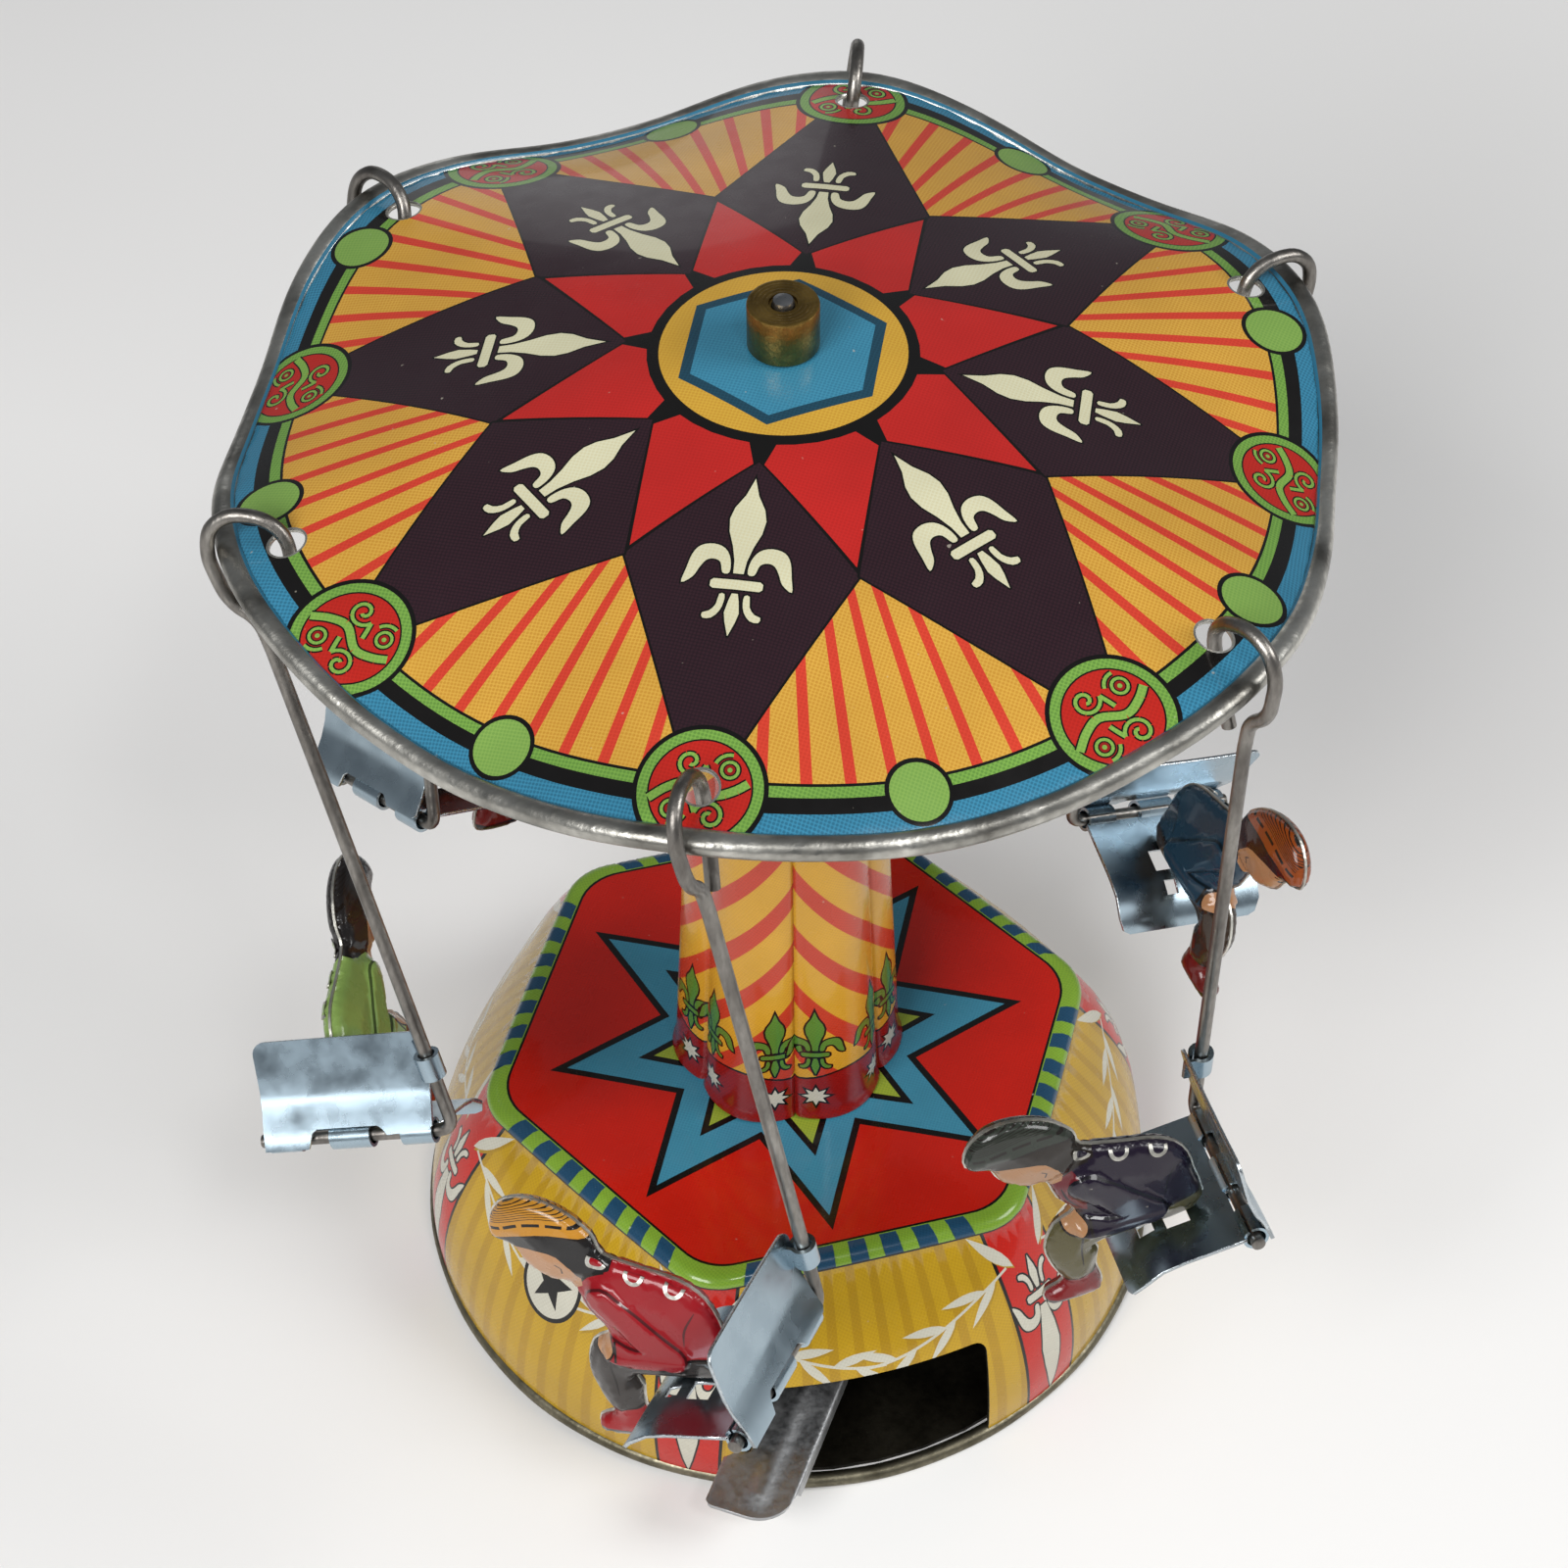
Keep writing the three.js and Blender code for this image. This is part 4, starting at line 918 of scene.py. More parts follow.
def post_art():
    black, crimson = ink(OUTLINE_INK), ink(*CRIMSON)
    seam = CREASE - 180
    x0, x1 = seam * POST_STEP, (seam + 360) * POST_STEP
    heights = np.arange(POST_FOOT_Z, POST_TOP, 11.6)
    ground = [(x0, POST_FOOT_Z), (x1, POST_FOOT_Z), *[(x1, v) for v in heights[1:]]]
    ground += [(x1, POST_TOP), (x0, POST_TOP), *[(x0, v) for v in heights[:0:-1]]]
    art = Sheet(ground, ink(*POST_YELLOW), 1.3)
    crest = CREASE * POST_STEP
    slope = 0.325 / POST_STEP
    for k in range(-4, 13):
        peak = 63 + 11.6 * k
        for sign, peak in ((1, peak), (-1, peak - LEFT_DROP)):
            near, far = crest, crest + sign * 90 * POST_STEP
            last = crest + sign * 180 * POST_STEP
            drop = 90 * POST_STEP * slope
            chevron = [(near, peak - 2.2), (far, peak - 2.2 - drop), (last, peak - 2.2), (last, peak + 2.2),
                       (far, peak + 2.2 - drop), (near, peak + 2.2)]
            art.paint(crimson, chevron)
    across = np.linspace(x1 + 2, x0 - 2, 90)
    wave = [(x, 45.3 + 0.75 * math.cos(rad((x / POST_STEP - CREASE - 30) * 6))) for x in across]
    art.paint(black, [(x0 - 2, 30), (x1 + 2, 30), *(np.array(wave) + [0, 0.4])])
    art.paint(ink("8c1410", "5c0c0a", 0.4), [(x0 - 2, 30), (x1 + 2, 30), *wave])
    green = ink("55802c", "35602a", 0.35)
    for k in range(SIDES):
        for side in (-1, 1):
            angle = seam + 30 + 60 * k + side * 19
            for depth, colour in ((-0.3, black), (0, green)):
                for shape in lily():
                    scaled = np.array(shape) * [0.66, -0.62] + [angle * POST_STEP, 50.1]
                    art.paint(colour, inset(scaled, depth))
            badge = star(8, 2.0, 1.05, 90) + [angle * POST_STEP, 41]
            art.edged(ink(*BASE_WHITE), black, 0.3, badge)
    for k in range(1, SIDES):
        for turn in (-2.6, -1.1, 0, 1.1, 2.6):
            x = (seam + 60 * k + turn) * POST_STEP
            art.lines.append(((x, POST_FOOT_Z), (x, POST_TOP)))
    art.points = grid_points(x0 + 0.6, x1 - 0.3, 1.1, 38.5, 159, 2.6)
    art.points += grid_points(x0 + 0.6, x1 - 0.3, 1.35, 36.9, 38.2, 0.55)
    return art


def make_post():
    sheet = post_art().lay("post_print", post_place, 0.5, INSIDE, STEEL)
    keep(sheet, "stand", "post_print", "post_shell")
    rim = [(5.4, 159.6), (12, 159.6), (12, 160.2), (5.4, 160.2)]

    def follow(angle, r, z):
        """The cap's outer edge follows the post's lobes."""
        return (r * float(lobe(angle)) * 0.83, z) if r > 6 else (r, z)

    cap = turned("post_cap", rim, 96, [INSIDE], warp=follow)
    keep(cap, "stand", "post_print")


# ---- knob, spindle and works -------------------------------------------------------------------
def make_knob():
    """The nut on top, a plain turned cylinder with tool rings on its face and the spindle's end in it."""
    bore, low = 1.45, 170.15
    top = low + 6.35
    profile = [(bore, low), (4.3, low), (4.4, low + 0.15), (4.4, top - 0.3), (4.32, top - 0.1), (4.1, top)]
    for r in (3.7, 3.2, 2.7, 2.2):
        profile += [(r + 0.12, top), (r, top - 0.05), (r - 0.12, top)]
    profile += [(1.75, top), (1.65, top - 0.35), (bore, top - 0.4)]
    knob = turned("knob", profile, 64, [BRASS])
    keep(knob, "carousel", "brass", "hub_nut")
    profile = [(0.0, 2.3), (1.6, 2.3), (1.6, 169), (1.35, 169.2), (1.35, 176.5), (1.2, 176.95)]
    profile += [(0.7, 177.15), (0, 177.2)]
    rod = turned("spindle_rod", profile, 32, [STEEL])
    clean(rod)
    keep(rod, "carousel", "machine_steel", "spindle")


def clean(piece):
    """Merges the points that a profile on the axis leaves doubled."""
    work = bmesh.new()
    work.from_mesh(piece.data)
    bmesh.ops.remove_doubles(work, verts=work.verts, dist=1e-6)
    bmesh.ops.dissolve_degenerate(work, edges=work.edges, dist=1e-7)
    work.to_mesh(piece.data)
    work.free()


def finish_works():
    """Metal for the CAD pieces inside the base, which stay as they are."""
    finishes = {
        "base_floor": DARK_TIN, "lower_bearing": BRASS, "upper_bearing": BRASS, "canopy_bush": BRASS,
        "flywheel": IRON, "clutch_collar": STEEL, "drive_pinion": BRASS, "clutch_spring": STEEL,
        "sector_gear": STEEL, "lever_rivet_1": BRASS, "lever_rivet_2": BRASS, "lever_pivot": STEEL,
        "return_spring": STEEL, "lever_stop": STEEL, "gear_bridge": DARK_TIN, "bridge_pillar_1": STEEL,
        "bridge_pillar_2": STEEL, "bridge_pillar_3": STEEL,
    }
    for name, finish in finishes.items():
        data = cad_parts[name].data
        for index in range(len(data.materials)):
            data.materials[index] = finish
        if not data.materials:
            data.materials.append(finish)


# ---- lever -----------------------------------------------------------------------------------
def make_lever():
    """A pressing with a raised rib down the middle and its long edges folded down."""
    half, low_end, fold, flare = 4.45, 24.0, 2.6, 3.2
    top, bend_radius, bend_length = 11.35, 0.55, 0.86

    def edge_at(x, side):
        """The half width; past the window the thumb end flares on its left."""
        t = np.clip((x - 54.3) / 1.8, 0, 1)
        return half + flare * ease(t) * (side < 0)

    def place(flat):
        x, y = flat[:, 0], flat[:, 1]
        reach = edge_at(x, np.sign(y)) - bend_radius
        over = np.maximum(np.abs(y) - reach, 0)
        bend = np.minimum(over / bend_length, 1) * np.pi / 2
        across = np.sign(y) * (np.minimum(np.abs(y), reach) + bend_radius * np.sin(bend))
        down = bend_radius * (1 - np.cos(bend)) + np.maximum(over - bend_length, 0)
        along = np.clip((x - 25) / 3, 0, 1) * np.clip((63.5 - x) / 2.5, 0, 1)
        rib = 0.55 * along * np.exp(-(np.abs(y + 0.6) / 1.5) ** 2)
        return np.column_stack([x, across, top - down + rib])

    tip, left = 64.7, half + flare
    outline = [*arc(0, 0, 5.9, 50, 310, 26), (12, -4.2), (low_end - 2.2, -4.2), (low_end - 0.6, -4.6)]
    outline += [(low_end, -half - fold), (54, -half - fold), (56.4, -left - fold)]
    outline += [(61.5, -left - fold + 0.2), (63.2, -left - 0.8)]
    outline += [*arc(tip - 1.6, -left + 1.4, 1.6, 285, 360, 5), *arc(tip - 5.5, 4.3 - 5.5, 5.5, 0, 80, 8)]
    outline += [(58.2, 4.6), (57.5, half + fold), (low_end, half + fold), (low_end - 0.6, 4.6)]
    outline += [(low_end - 2.2, 4.2), (12, 4.2)]
    art = Sheet(outline, "lever_steel", 1.5)
    for x, radius in ((0, 2.0), (7.5, 1.4), (11.5, 1.4)):
        art.cut(disc(x, 0, radius, 18))
    art.points = grid_points(20, 54, 0.8, -4.0, 4.1, 0.4) + grid_points(54.2, 64, 0.5, -6.4, 4.1, 0.4)
    art.points += grid_points(24.5, 57.3, 1.0, 4.2, half + fold, 0.34)
    art.points += [p * [1, -1] for p in grid_points(24.5, 54, 1.0, 4.2, half + fold, 0.34)]
    art.points += [p * [1, -1] for p in grid_points(56.6, 63, 0.7, 6.4, left + fold, 0.34)]
    art.points = [p for p in art.points if inside(p, np.array(outline))]
    lever = art.lay("lever_pressing", place, 0.75, LEVER)
    shift(lever, Matrix.Translation(Vector((*PIVOT, 0)) * MM) @ Matrix.Rotation(rad(LEVER_ANGLE), 4, "Z"))
    keep(lever, "lever", "lever_steel", "lever")


def shift(piece, matrix):
    """Moves a piece's own vertices, so that its object stays at the origin."""
    data = piece.data
    corner = np.zeros(len(data.loops) * 3, np.float32)
    data.corner_normals.foreach_get("vector", corner)
    data.transform(matrix)
    turned_normals = corner.reshape(-1, 3) @ np.array(matrix.to_3x3()).T
    data.normals_split_custom_set([tuple(n) for n in turned_normals])


# ---- hangers -----------------------------------------------------------------------------------
def hook_frame(i):
    """Where hanger i's eye sits in the rim, turned, swayed and swung as the hanger is."""
    angle = HOOK_FIRST + 60 * i
    start = np.array([[*polar(HOOK_RADIUS, angle), dome(HOOK_RADIUS)]])
    place = rim_wave(start)[0] + [0, 0, 0.2]
    twist, sway, swing = HANGERS[i][:3]
    turn = (Matrix.Rotation(rad(angle + twist), 4, "Z") @ Matrix.Rotation(rad(sway), 4, "X")
            @ Matrix.Rotation(rad(-swing), 4, "Y"))
    return Matrix.Translation(Vector(place)) @ turn


def seat_frame(i):
    """The seat's frame in its hanger: X along the bar, Z up the back."""
    bar_twist, bar_tilt, pitch = HANGERS[i][3:]
    return (Matrix.Translation((WIRE_LEG_X, 0, -WIRE_LEG)) @ Matrix.Rotation(rad(bar_twist), 4, "Z")
            @ Matrix.Rotation(rad(-bar_tilt), 4, "Y") @ Matrix.Rotation(rad(pitch), 4, "X"))


def figure_frame(i):
    """The rider's frame in its hanger, with its own stance on the seat."""
    nod, lean, aside, lift = STANCES[i]
    about = Vector((RIDER_X, -STANCE_FORWARD, 0))
    turn = Matrix.Rotation(rad(lean), 4, "Y") @ Matrix.Rotation(rad(nod), 4, "X")
    back = Matrix.Translation(-about)
    return seat_frame(i) @ Matrix.Translation(about + Vector((aside, 0, lift))) @ turn @ back


def make_wire(i):
    bend_dir = np.array(seat_frame(i).to_3x3() @ Vector((1, 0, 0)))
    corner = np.array([WIRE_LEG_X, 0, -WIRE_LEG])
    above, beyond = corner + [0, 0, WIRE_BEND], corner + bend_dir * WIRE_BEND
    eye = curve([(x, 0, z) for x, z in EYE])
    leg = np.linspace(eye[-1], above, 9)[1:]
    t = np.linspace(0, 1, 8)[1:, None]
    bend = (1 - t) ** 2 * above + 2 * t * (1 - t) * corner + t ** 2 * beyond
    bar = np.linspace(beyond, corner + bend_dir * WIRE_BAR, 6)[1:]
    path = np.concatenate([eye, leg, bend, bar])
    wobble = np.sin(np.linspace(0, 9, len(path)) + i)[:, None] * np.array([[0.05, 0.07, 0]])
    places, faces = tube(path + wobble, WIRE_RADIUS, 14)
    wire = new_object(f"wire_{i + 1}", moved(places, hook_frame(i)), faces, [WIRE], sharp=50)
    keep(wire, f"hanger_{i + 1}", "wire_steel", f"hanger_{i + 1}")


SEAT_LEFT, SEAT_RIGHT, SEAT_BACK, SEAT_DEPTH, LIP_FROM, LIP = 2.2, 26.4, 13.4, 17.0, 10.5, 2.6


def in_hanger(piece, i, inner):
    """Takes a piece from a frame inside the hanger, such as the seat's, to its place."""
    matrix = hook_frame(i) @ inner
    matrix.translation = matrix.translation * MM
    shift(piece, matrix)


def make_seat(i):
    left, right, corner, foot = SEAT_LEFT, SEAT_RIGHT, 1.7, -1.0

    def back_place(flat):
        """The plate passes behind the bar, then leans forward to stand over it."""
        x, z = flat[:, 0], flat[:, 1]
        lean = np.clip((6.5 - z) / 7.5, 0, 1)
        dish = 0.15 * np.sin(np.pi * (x - left) / (right - left))
        return np.column_stack([x, 0.15 + 1.62 * ease(lean) - dish, z])

    back = [(left, 1.0), (left + 0.6, 0.5), (8.6, 0.2), (9.2, 0.9), (9.9, 1.4), (18.6, 1.4), (19.3, 0.9)]
    back += [(19.9, foot), (right - 0.3, foot)]
    back += [*arc(right - corner, SEAT_BACK - corner, corner, 0, 90, 6),
             *arc(left + corner, SEAT_BACK - corner, corner, 90, 180, 6)]
    art = Sheet(back, "seat_tin")
    art.points = grid_points(left + 0.8, right - 0.5, 2.0, 3, 12.8, 1.6)
    for x0, x1 in ((left + 0.9, 8.3), (20.4, right - 0.5)):
        art.points += grid_points(x0, x1, 1.7, -0.4, 2.8, 1.0)
    plate = art.lay(f"seat_back_{i + 1}", back_place, 0.5, SEAT, SEAT_EDGE)

    def board_place(flat):
        x, s = flat[:, 0], flat[:, 1]
        along = np.clip((s - LIP_FROM) / (SEAT_DEPTH - LIP_FROM), 0, 1)
        # the front edge turns down further in its last stretch
        curl = np.clip((s - 15.4) / 1.6, 0, 1) ** 2
        return np.column_stack([x, -s, 0.3 - LIP * along ** 2 - 0.5 * curl])

    board = [(left, 1.2), (11.3, 1.2), (11.3, 0.2), (17.2, 0.2), (17.2, 1.2), (right, 1.2), (right, 15.4)]
    board += [(right - 0.7, 16.7), (right - 1.8, SEAT_DEPTH), (left + 1.8, SEAT_DEPTH), (left + 0.7, 16.7)]
    board += [(left, 15.4)]
    art = Sheet(board, "seat_tin")
    for x in (11.7, 18.3):
        for forward, size in ((8.3, 3.2), (12.4, 2.0)):
            h = size / 2
            art.cut(rows(forward - h, forward + h, x - h, x + h))
    art.points = grid_points(left + 0.9, right - 0.6, 1.9, 2.6, 16.4, 1.3)
    for x in (left + 0.01, right - 0.01):
        art.points += [(x, s) for s in np.arange(3, 15.3, 1.1)]
    seat_board = art.lay(f"seat_board_{i + 1}", board_place, 0.5, SEAT, SEAT_EDGE)
    parts = []
    for x0, x1 in ((2.6, 7.0), (11.4, 17.1), (21.5, 26.0)):
        parts.append(knuckle(x0, x1, 1.3, 1.72))
    parts.append(leg_collar(i))
    places, faces = merged(parts)
    curls = new_object(f"seat_curls_{i + 1}", places, faces, [SEAT], sharp=45)
    for piece in (plate, seat_board, curls):
        in_hanger(piece, i, seat_frame(i))
        keep(piece, f"hanger_{i + 1}", "seat_tin")
    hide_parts(f"seat_{i + 1}")


def knuckle(x0, x1, inner, outer, steps=18):
    """Sheet curled round the bar, with its free edge butted against itself."""
    angles = np.linspace(rad(100), rad(100 - 345), steps + 1)
    places = []
    for a in angles:
        for r, x in ((outer, x0), (outer, x1), (inner, x1), (inner, x0)):
            places.append((x, r * math.cos(a), r * math.sin(a)))
    faces = bands(steps + 1, 4) + [(3, 2, 1, 0), tuple(4 * steps + j for j in range(4))]
    return np.array(places), faces


def leg_collar(i, steps=18):
    """The ear of the back plate that wraps the wire's upright leg."""
    to_seat = seat_frame(i).inverted().to_3x3()
    along = np.array((to_seat @ Vector((0, 0, 1))).normalized())
    middle = along * (9.6 / along[2])
    target = np.array([SEAT_LEFT + 0.8, 0.0, middle[2]]) - middle
    target -= along * np.dot(target, along)
    reach = np.linalg.norm(target)
    out = target / reach
    side = np.cross(along, out)
    around = [polar(1, a) for a in np.linspace(25, 345, steps)]
    outer = [(reach + 0.4, 0.3), *(1.7 * p for p in around), (1.5, -0.75)]
    inner = [(reach + 0.4, -0.2), *(1.15 * p for p in around), (1.2, -0.3)]
    places = []
    for far, near in zip(outer, inner):
        for (u, v), h in ((far, -1.7), (far, 1.7), (near, 1.7), (near, -1.7)):
            places.append(middle + out * u + side * v + along * h)
    faces = [(a, d, c, b) for a, b, c, d in bands(len(outer), 4)]
    last = 4 * (len(outer) - 1)
    faces += [(0, 1, 2, 3), (last + 3, last + 2, last + 1, last)]
    return np.array(places), faces


# ---- riders ------------------------------------------------------------------------------------
RIDER_X = 15.0
OUTLINE = [(5.2, 0.8), (18.2, 0.8), (18.9, -1.5), (19.7, -4.6), (19.5, -8), (20.9, -9.3), (26.6, -8.9),
           (26.9, -6.7), (24.2, -5.5), (25, -2), (25.3, 2), (23.4, 5.8), (20.3, 7.6), (22, 11.2),
           (22.9, 15.4), (25.4, 16), (28.2, 18.4), (29.2, 21.2), (31.8, 22.8), (31, 25.8),
           (28.2, 27.9), (24.4, 27.8), (20.6, 25.8), (18, 22.4), (17.4, 19.5), (13, 17.4), (8, 15.4),
           (5.2, 12.4), (4.4, 7.5)]
CAP = [(17.2, 22.3), (19.6, 22.9), (22.6, 23.7), (26, 23.9), (29.2, 23.2), (32.6, 23.2), (32.8, 27),
       (28.5, 29.4), (23.5, 29.2), (18.6, 26.6), (16.4, 23)]
CAP_BAND = [(18.4, 23.8), (20.6, 24.5), (23.4, 25.1), (26.6, 25.2), (29.4, 24.6), (31.4, 24.4)]
HAIR = [(16.4, 17.8), (19.8, 17.8), (21.4, 19.0), (22.4, 20.6), (24.6, 21.5), (27.6, 21.6), (31, 21.6),
        (33, 22.6), (33, 25), (25, 26), (16, 24)]
FACE = [(21.0, 15.4), (25.6, 14.6), (30.4, 17.4), (32.4, 21.6), (29, 22.6), (25.4, 22.2), (22.2, 20.6),
        (21, 18.2)]
NECK = [(17.2, 17.4), (19.6, 17.0), (22.4, 14.9), (23.4, 15.2), (22.2, 18.8), (19.8, 19.4), (17, 19.6)]
TROUSERS = [(3.4, -1), (3.4, 3.6), (8, 4.6), (13, 5.0), (17, 5.6), (21.8, 8.6), (27, 5), (27, -4.4),
            (19, -5.4), (18, -1)]
JACKET_FOLDS = [[(19.6, 9.0), (20.9, 11.4), (21.4, 14.0)], [(6.4, 11.6), (8.2, 9.4), (9, 7)]]
TROUSER_FOLDS = [[(19.4, 6.4), (20.8, 3.2), (21.4, -1.6)], [(12.5, 4.2), (16.0, 3.0), (19.0, 2.2)],
                 [(6, 3.2), (9, 2.2), (12, 1.8)]]
CHEST = [(18.9, 8.6), (21.4, 9.4), (24.4, 14), (23, 17.4), (20, 18.2), (18.4, 14.5)]
SHOE = [(18.6, -4.9), (21.4, -4.3), (24.6, -4.9), (28, -5.6), (28, -10.6), (18.6, -10.6)]
SOLE = [(18.6, -8.3), (21.2, -8.2), (28, -7.5), (28, -10.6), (18.6, -10.6)]
ARM = [(18.4, 13.6), (16.2, 11.2), (13.6, 7.8), (11.4, 5.2)]
FOREARM = [(11.4, 5.2), (14.0, 4.8), (17, 5.0), (19.8, 5.9)]
HAND = (21.0, 6.3)
TABS = [(17.0, 19.2), (12.4, 17.2), (7.6, 15.0)]
# cap, hair, face, jacket, chest, trousers, shoes
CLOTHES = [("b37c26", "1a1818", "ab7f59", "8c0d17", "8c0d17", "35302d", "8c1418"),
           ("2b3029", "1f1812", "9c7450", "170e20", "5a121b", "4c4629", "6e1416"),
           ("8f441a", "32140f", "a87a54", "1a3547", "1a3547", "32251a", "601410"),
           ("7d1f1c", "2a2420", "c4966e", "8a6a1c", "8a6a1c", "2c3440", "8a1c1c"),
           ("2d5a3a", "3a2418", "b88a62", "a83a1e", "a83a1e", "3a3630", "6a1a16"),
           ("242121", "1c1919", "ab7f59", "7d9850", "7d9850", "5a4020", "702c14")]


def to_path(points, path, closed=False):
    """Each point's distance to a line of straight pieces."""
    path = np.asarray(path, float)
    ends = np.roll(path, -1, 0) if closed else path[1:]
    starts = path if closed else path[:-1]
    best = np.full(len(points), 1e9)
    for a, b in zip(starts, ends):
        along = b - a
        t = np.clip(((points - a) @ along) / (along @ along), 0, 1)
        best = np.minimum(best, np.linalg.norm(points - a - t[:, None] * along, axis=1))
    return best


def step_up(distance, half, soft):
    """1 within half of a line, easing to 0 over the next stretch."""
    return ease(np.clip((half + soft - distance) / soft, 0, 1))


RIDER_RIM = smooth(OUTLINE, 3)


def rider_height(points):
    """How far a pressed half stands off its joint: rounded edges, then the arm, leg and head raised."""
    away = to_path(points, RIDER_RIM, True)
    rim = np.clip(away / 1.3, 0, 1)
    height = 0.2 + 1.35 * np.sqrt(np.maximum(1 - (1 - rim) ** 2, 0))
    height += 0.9 * np.clip((away - 1) / 3.2, 0, 1)
    arm = np.maximum(step_up(to_path(points, ARM), 1.9, 0.8), step_up(to_path(points, FOREARM), 1.2, 0.8))
    height += 0.75 * arm * rim
    height += 0.35 * step_up(to_path(points, [(8, 2.2), (20.5, 3.2), (22.5, -2)]), 1.6, 1.4) * rim
    neck = step_up(to_path(points, [(17, 18.6), (23.5, 14.4)]), 0.25, 1.2)
    return height - 0.45 * neck * rim


def deeper(code):
    """A paint's own colour at half the strength."""
    return "".join(f"{int(code[k:k + 2], 16) // 2:02x}" for k in (0, 2, 4))


def plain(code):
    """A paint without print dots."""
    return ink(code, None)


def rider_art(colours):
    cap, hair, face, jacket, chest, trousers, shoes = colours
    dark, skin, shade = ink("1b1512"), ink(face, "9c6444", 0.2), plain(deeper(jacket))
    art = Sheet(RIDER_RIM, plain(jacket), 1.2)
    if chest != jacket:
        art.paint(plain(chest), CHEST)
    for fold in JACKET_FOLDS:
        art.paint(shade, stroke(curve(fold, 4), 0.3, 0.3))
    art.edged(plain(trousers), dark, 0.35, TROUSERS)
    for fold in TROUSER_FOLDS:
        art.paint(dark, stroke(curve(fold, 4), 0.32, 0.3))
    art.edged(plain(shoes), dark, 0.3, SHOE)
    art.paint(dark, SOLE, NECK)
    art.paint(skin, smooth(FACE, 2))
    art.paint(plain(hair), smooth(HAIR, 2))
    art.edged(plain(cap), dark, 0.35, smooth(CAP, 2))
    for k in range(12):
        bow = curve([(19.2, 25.0 + 0.3 * k), (24.5, 26.0 + 0.3 * k), (30.8, 25.2 + 0.26 * k)], 4)
        art.paint(dark, stroke(bow, 0.09))
    band = curve(CAP_BAND, 4)
    for k in range(0, len(band) - 3, 4):
        art.paint(dark, stroke(band[k:k + 4], 0.4))
    art.paint(dark, stroke([(22.9, 17.6), (22.6, 18.6), (23.2, 19.3)], 0.2))
    art.paint(dark, disc(28.9, 20.5, 0.32, 12), stroke([(28.2, 21.1), (29.6, 21.2)], 0.2))
    art.paint(plain("8c3a24"), stroke([(27.9, 17.6), (28.7, 18.2)], 0.25))
    arm, forearm = curve(ARM, 3), curve(FOREARM, 3)
    for grow, colour in ((0.22, shade), (0, plain(jacket))):
        for path, half in ((arm, 2.15), (forearm, 1.5)):
            art.paint(colour, capsule(path, half + grow))
    art.paint(dark, disc(*HAND, 1.75, 20))
    art.paint(skin, disc(*HAND, 1.45, 20))
    art.paint(dark, stroke([(19.3, 4.6), (19.0, 7.2)], 0.4))
    art.points = [p for p in grid_points(4.5, 32, 0.85, -9, 28, 0.75) if inside(p, RIDER_RIM)]
    art.points += list(inset(RIDER_RIM, 0.35)) + list(inset(RIDER_RIM, 0.12))
    return art


def capsule(path, half):
    """The outline of a line with round ends."""
    along = path[1] - path[0]
    start = math.degrees(math.atan2(along[1], along[0]))
    along = path[-1] - path[-2]
    end = math.degrees(math.atan2(along[1], along[0]))
    body = stroke(path, 2 * half)
    count = len(path)
    return np.concatenate([body[:count], arc(*path[-1], half, end + 80, end - 80, 7), body[count:],
                           arc(*path[0], half, start + 260, start + 100, 7)])


def inside(point, outline):
    """Whether a point lies inside a closed outline."""
    x, y = point
    a, b = outline, np.roll(outline, -1, 0)
    crosses = (a[:, 1] > y) != (b[:, 1] > y)
    at = (b[:, 0] - a[:, 0]) * (y - a[:, 1]) / (b[:, 1] - a[:, 1] + 1e-12) + a[:, 0]
    return int(np.sum(crosses & (x < at))) % 2 == 1


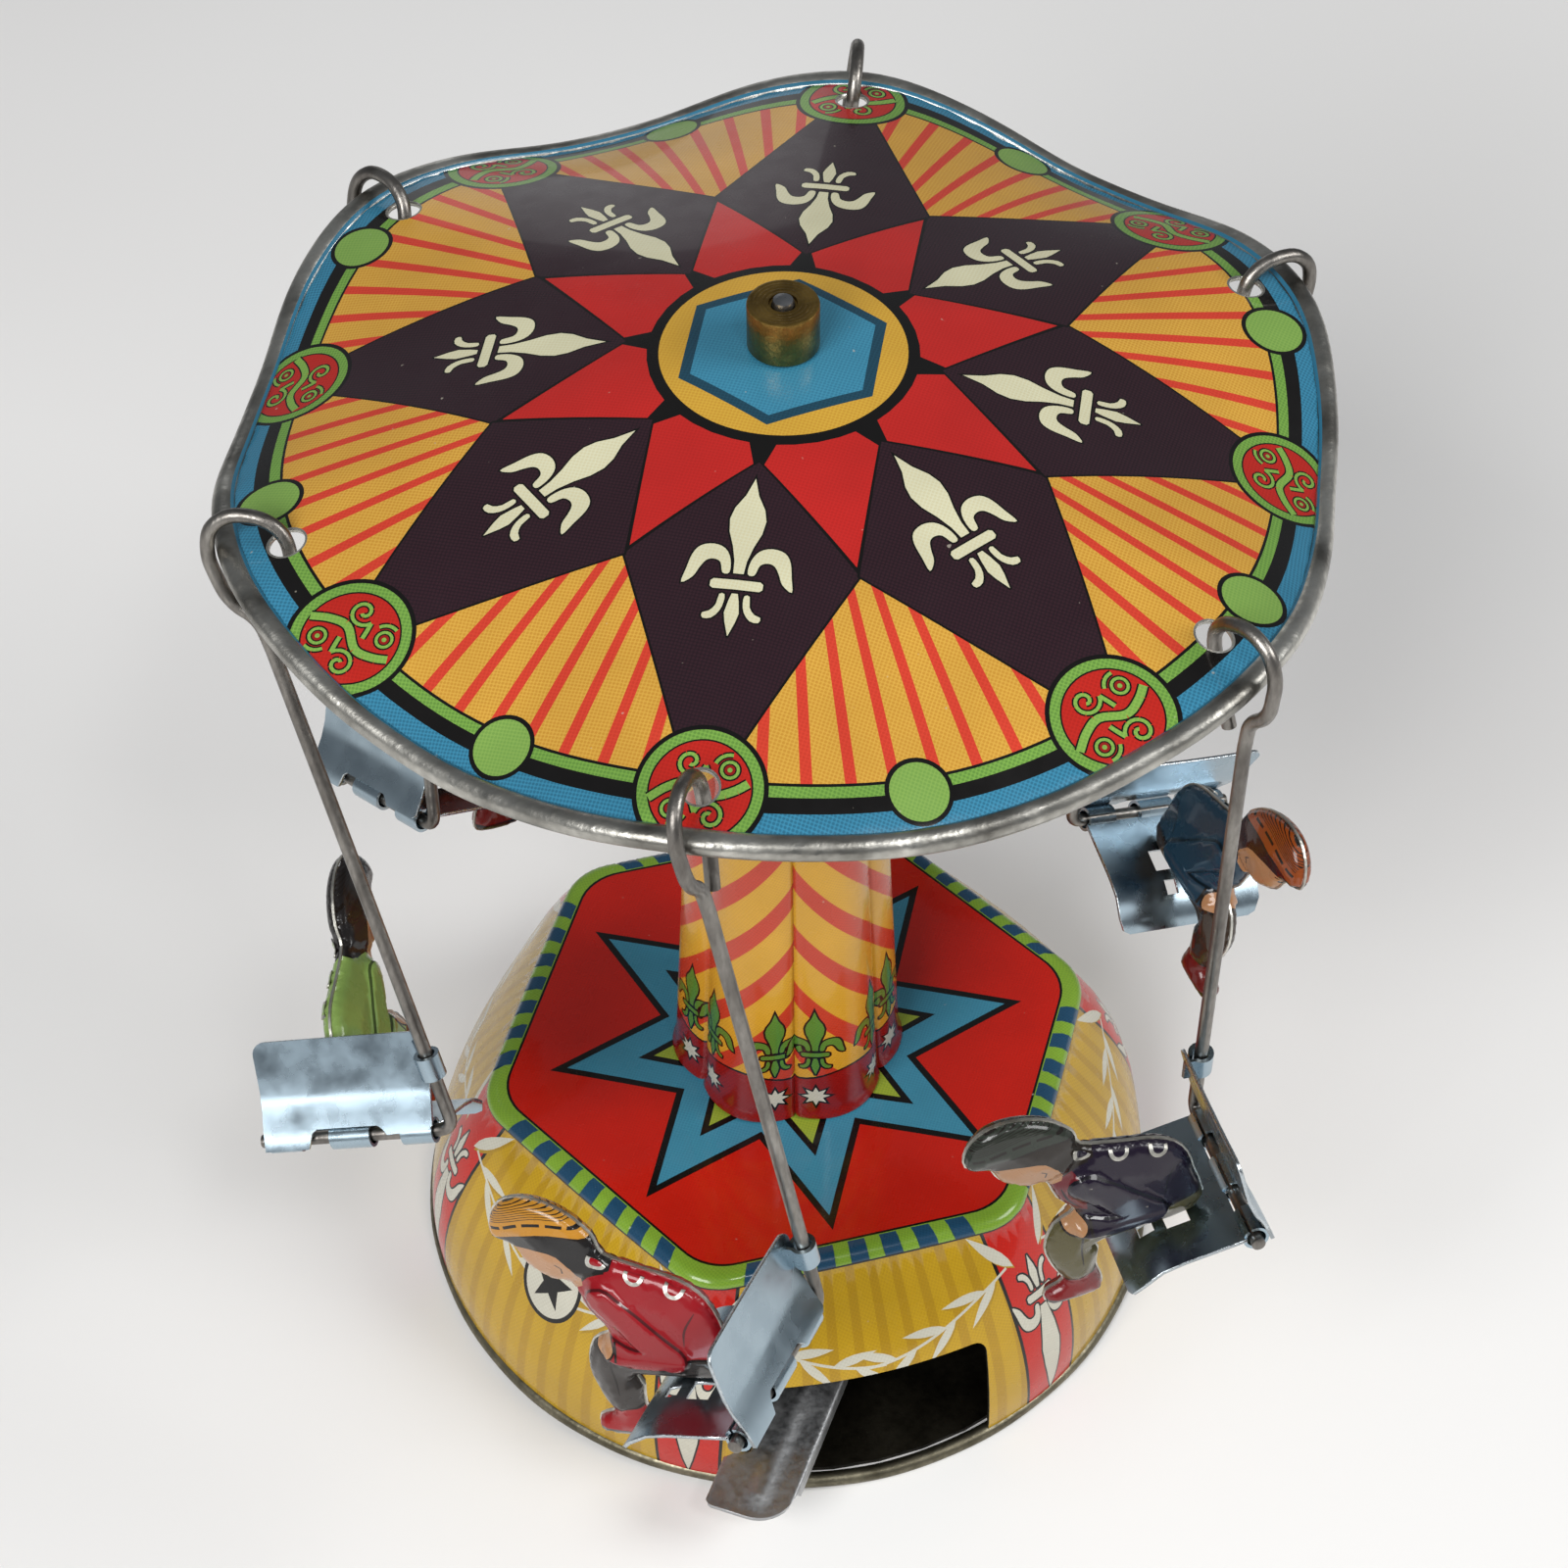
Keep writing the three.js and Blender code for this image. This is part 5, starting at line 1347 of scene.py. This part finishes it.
def make_rider(i):
    """A figure pressed in two printed halves, with the seam between them and three folded tabs."""
    number = i + 1
    body = f"hanger_{number}"
    for side, word in ((-1, "inner"), (1, "outer")):
        art = rider_art(CLOTHES[i])

        def place(flat, side=side):
            return np.column_stack([RIDER_X + side * rider_height(flat), -flat[:, 0], flat[:, 1]])

        half = art.lay(f"rider_{number}_{word}", place, 0.05, BARE, BARE, flip=side > 0)
        in_hanger(half, i, figure_frame(i))
        keep(half, body, f"rider_print_{number}", f"rider_{number}_{word}_half")

    def over(flat):
        return np.column_stack([RIDER_X + 0.3 + rider_height(flat), -flat[:, 0], flat[:, 1]])

    for k, spot in enumerate(TABS):
        near = int(np.argmin(np.linalg.norm(RIDER_RIM - spot, axis=1)))
        along = RIDER_RIM[near + 1] - RIDER_RIM[near - 1]
        turn = math.degrees(math.atan2(along[1], along[0]))
        x, y = RIDER_RIM[near] + polar(0.15, turn + 90)
        art = Sheet(arc(x, y, 1.35, turn, turn + 180, 12), "bare_tin", 0.6)
        art.paint(plain(CLOTHES[i][3]), arc(x, y, 0.85, turn, turn + 180, 10))
        tab = art.lay(f"rider_{number}_tab_{k + 1}", over, 0.22, BARE, BARE, flip=True)
        in_hanger(tab, i, figure_frame(i))
        keep(tab, body, f"rider_print_{number}")
    seam = inset(RIDER_RIM, -0.22)
    places = [(RIDER_X + x, -f, u) for x in (-0.18, 0.18) for f, u in seam]
    count = len(seam)
    faces = [tuple(range(count)), tuple(range(2 * count - 1, count - 1, -1))]
    faces += [(k, k + count, (k + 1) % count + count, (k + 1) % count) for k in range(count)]
    plate = new_object(f"rider_{number}_seam", places, faces, [BARE], sharp=30)
    in_hanger(plate, i, figure_frame(i))
    keep(plate, body, f"rider_print_{number}")


# ---- floor and light -----------------------------------------------------------------------
# name, place, size and power; the bright ones stand on the camera's side, clear of the dome's mirror
LAMPS = [("key", (-0.8, -0.8, 1.0), 0.7, 19), ("side", (0.95, -0.5, 0.9), 0.6, 10),
         ("strip", (0.1, -0.85, 1.35), 0.16, 2.2), ("back", (0.1, 1.3, 0.35), 0.5, 0.4)]


def make_studio():
    bpy.context.scene.view_settings.view_transform = "Standard"
    shade = Shade("paper")
    tone = shade.ramp(shade.noise(3, 2), 0.3, 0.7)
    shade.set(Base_Color=shade.mix(tone, linear("e6e4e2"), linear("efeeec")), Roughness=0.75)
    half = 6000
    corners = [(x, y, -0.05) for x, y in ((-half, -half), (half, -half), (half, half), (-half, half))]
    floor = new_object("floor", corners, [(0, 1, 2, 3)], [shade.material])
    world = bpy.data.worlds.new("studio")
    world.use_nodes = True
    world.node_tree.nodes["Background"].inputs["Color"].default_value = linear("dfe4ea")
    world.node_tree.nodes["Background"].inputs["Strength"].default_value = 0.24
    bpy.context.scene.world = world
    for name, place, size, power in LAMPS:
        data = bpy.data.lights.new(name, "AREA")
        data.shape, data.size, data.size_y, data.energy = "RECTANGLE", size, size, power
        lamp = bpy.data.objects.new(name, data)
        bpy.context.scene.collection.objects.link(lamp)
        lamp.location = place
        lamp.rotation_euler = (Vector((0, 0, 0.1)) - Vector(place)).to_track_quat("-Z", "Y").to_euler()


make_canopy()
make_base()
make_post()
make_knob()
make_lever()
for index in range(SIDES):
    make_wire(index)
    make_seat(index)
    make_rider(index)
make_studio()
